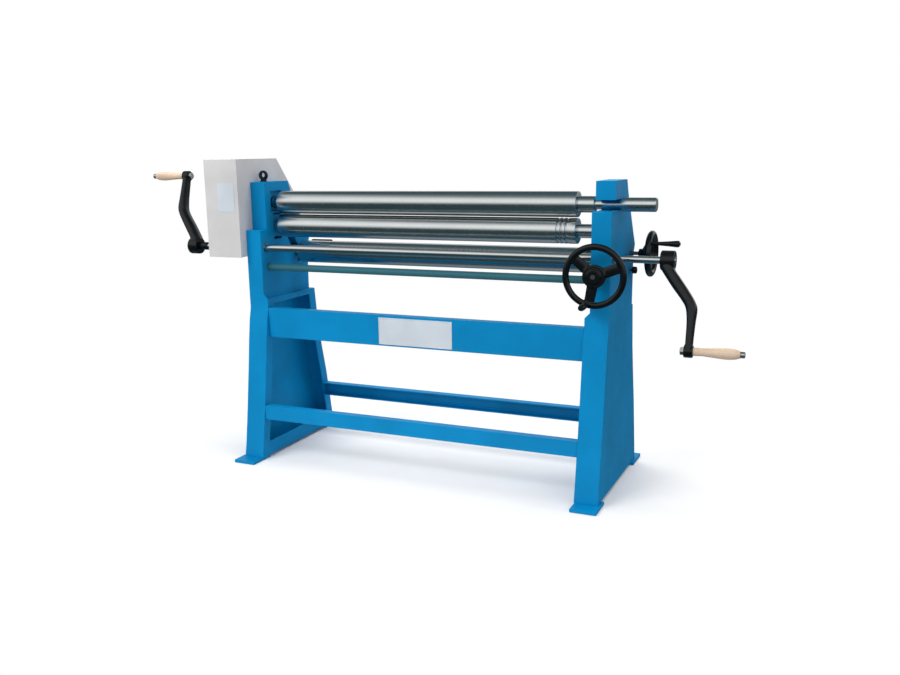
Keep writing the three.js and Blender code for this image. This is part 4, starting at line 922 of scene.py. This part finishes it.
def studio_world():
    """Soft light all round, a room with dark walls for the polished pieces, and white behind the machine."""
    made = bpy.data.worlds.new("studio")
    made.use_nodes = True
    tree = made.node_tree
    tree.nodes.clear()
    where = tree.nodes.new("ShaderNodeTexCoord")
    parts = tree.nodes.new("ShaderNodeSeparateXYZ")
    tree.links.new(where.outputs["Generated"], parts.inputs["Vector"])
    height = tree.nodes.new("ShaderNodeMapRange")
    height.inputs["From Min"].default_value = -1
    height.inputs["From Max"].default_value = 1
    tree.links.new(parts.outputs["Z"], height.inputs["Value"])
    room = {name: ramp_of(tree, height.outputs["Result"], stops) for name, stops in ROOM.items()}
    behind = tree.nodes.new("ShaderNodeMapRange")
    behind.inputs["From Min"].default_value = -0.15
    behind.inputs["From Max"].default_value = 0.15
    tree.links.new(parts.outputs["Y"], behind.inputs["Value"])
    walls = tree.nodes.new("ShaderNodeMix")
    walls.data_type = "RGBA"
    tree.links.new(behind.outputs["Result"], walls.inputs["Factor"])
    tree.links.new(room["front"], walls.inputs[6])
    tree.links.new(room["back"], walls.inputs[7])
    path = tree.nodes.new("ShaderNodeLightPath")
    shine = tree.nodes.new("ShaderNodeMix")
    shine.data_type = "RGBA"
    tree.links.new(path.outputs["Is Glossy Ray"], shine.inputs["Factor"])
    tree.links.new(room["soft"], shine.inputs[6])
    tree.links.new(walls.outputs[2], shine.inputs[7])
    light = tree.nodes.new("ShaderNodeBackground")
    light.inputs["Strength"].default_value = 1.5
    tree.links.new(shine.outputs[2], light.inputs["Color"])
    white = tree.nodes.new("ShaderNodeBackground")
    white.inputs["Strength"].default_value = 1
    white.inputs["Color"].default_value = (1, 1, 1, 1)
    mix = tree.nodes.new("ShaderNodeMixShader")
    out = tree.nodes.new("ShaderNodeOutputWorld")
    tree.links.new(path.outputs["Is Camera Ray"], mix.inputs["Fac"])
    tree.links.new(light.outputs["Background"], mix.inputs[1])
    tree.links.new(white.outputs["Background"], mix.inputs[2])
    tree.links.new(mix.outputs["Shader"], out.inputs["Surface"])
    bpy.context.scene.world = made


def pale_floor():
    """A pale floor, just under the feet, that fades into the white round the machine."""
    made, tree, shader = nodes_for("pale_floor")
    tone = two_tone(tree, noise(tree, 3, 3), (0.93, 0.93, 0.93), (0.96, 0.96, 0.96))
    tree.links.new(tone, shader.inputs["Base Color"])
    shader.inputs["Roughness"].default_value = 0.9
    where = tree.nodes.new("ShaderNodeTexCoord")
    apart = tree.nodes.new("ShaderNodeVectorMath")
    apart.operation = "LENGTH"
    fade = tree.nodes.new("ShaderNodeMapRange")
    fade.inputs["From Min"].default_value = 0.75
    fade.inputs["From Max"].default_value = 1.55
    fade.inputs["To Min"].default_value = 1
    fade.inputs["To Max"].default_value = 0
    tree.links.new(where.outputs["Object"], apart.inputs[0])
    tree.links.new(apart.outputs["Value"], fade.inputs["Value"])
    tree.links.new(fade.outputs["Result"], shader.inputs["Alpha"])
    mesh = bpy.data.meshes.new("floor")
    work = bmesh.new()
    bmesh.ops.create_grid(work, x_segments=8, y_segments=8, size=1.7)
    work.to_mesh(mesh)
    work.free()
    floor = bpy.data.objects.new("floor", mesh)
    floor.location = (0, 0, -0.0006)
    floor.visible_glossy = False
    floor.data.materials.append(made)
    bpy.context.scene.collection.objects.link(floor)
    return floor


class SLIPROLL_OT_stage(bpy.types.Operator):
    """Camera, soft lamps, pale floor and white surroundings"""
    bl_idname = "sliproll.stage"
    bl_label = "Stage"

    def execute(self, context):
        context.scene.view_settings.view_transform = "Standard"
        shot_camera()
        studio_world()
        staged = [
            pale_floor(),
            lamp("key", (-1.6, -3.4, 3.4), (0, 0, 0.7), (2.6, 2.0), 120),
            lamp("fill", (3.4, -2.2, 2.0), (0, 0, 0.7), (2.0, 2.0), 14),
            lamp("top", (0, 0.6, 3.8), (0, 0, 0.6), (3.6, 1.6), 80),
        ]
        return {"FINISHED"}


STEPS = (
    SLIPROLL_OT_stands, SLIPROLL_OT_guard, SLIPROLL_OT_rolls, SLIPROLL_OT_shafts, SLIPROLL_OT_cranks,
    SLIPROLL_OT_handwheels, SLIPROLL_OT_works, SLIPROLL_OT_stage,
)


class SLIPROLL_PT_panel(bpy.types.Panel):
    """The sizes, colours and steps of the machine"""
    bl_idname = "SLIPROLL_PT_panel"
    bl_label = "Slip roll machine"
    bl_space_type = "VIEW_3D"
    bl_region_type = "UI"
    bl_category = "Slip roll"

    def draw(self, context):
        for group in GROUPS:
            settings = getattr(context.scene, group)
            column = self.layout.column(align=True)
            for key in settings.__annotations__:
                column.prop(settings, key)
        for step in STEPS:
            self.layout.operator(step.bl_idname)


GROUPS = {
    "sliproll_finish": SlipRollFinish, "sliproll_edges": SlipRollEdges, "sliproll_rolls": SlipRollRolls,
    "sliproll_cranks": SlipRollCranks, "sliproll_wheels": SlipRollWheels,
}


def register():
    """Adds the groups of sizes, the steps and the panel."""
    for group in GROUPS.values():
        bpy.utils.register_class(group)
    for step in STEPS:
        bpy.utils.register_class(step)
    bpy.utils.register_class(SLIPROLL_PT_panel)
    for name, group in GROUPS.items():
        setattr(bpy.types.Scene, name, bpy.props.PointerProperty(type=group))


def unregister():
    """Takes them away again, in the opposite order."""
    for name in GROUPS:
        delattr(bpy.types.Scene, name)
    bpy.utils.unregister_class(SLIPROLL_PT_panel)
    for step in reversed(STEPS):
        bpy.utils.unregister_class(step)
    for group in GROUPS.values():
        bpy.utils.unregister_class(group)


def main():
    """Makes the finishes and runs every step."""
    register()
    make_finishes(bpy.context.scene.sliproll_finish)
    for step in ("stands", "guard", "rolls", "shafts", "cranks", "handwheels", "works", "stage"):
        getattr(bpy.ops.sliproll, step)()


if __name__ == "__main__":
    main()
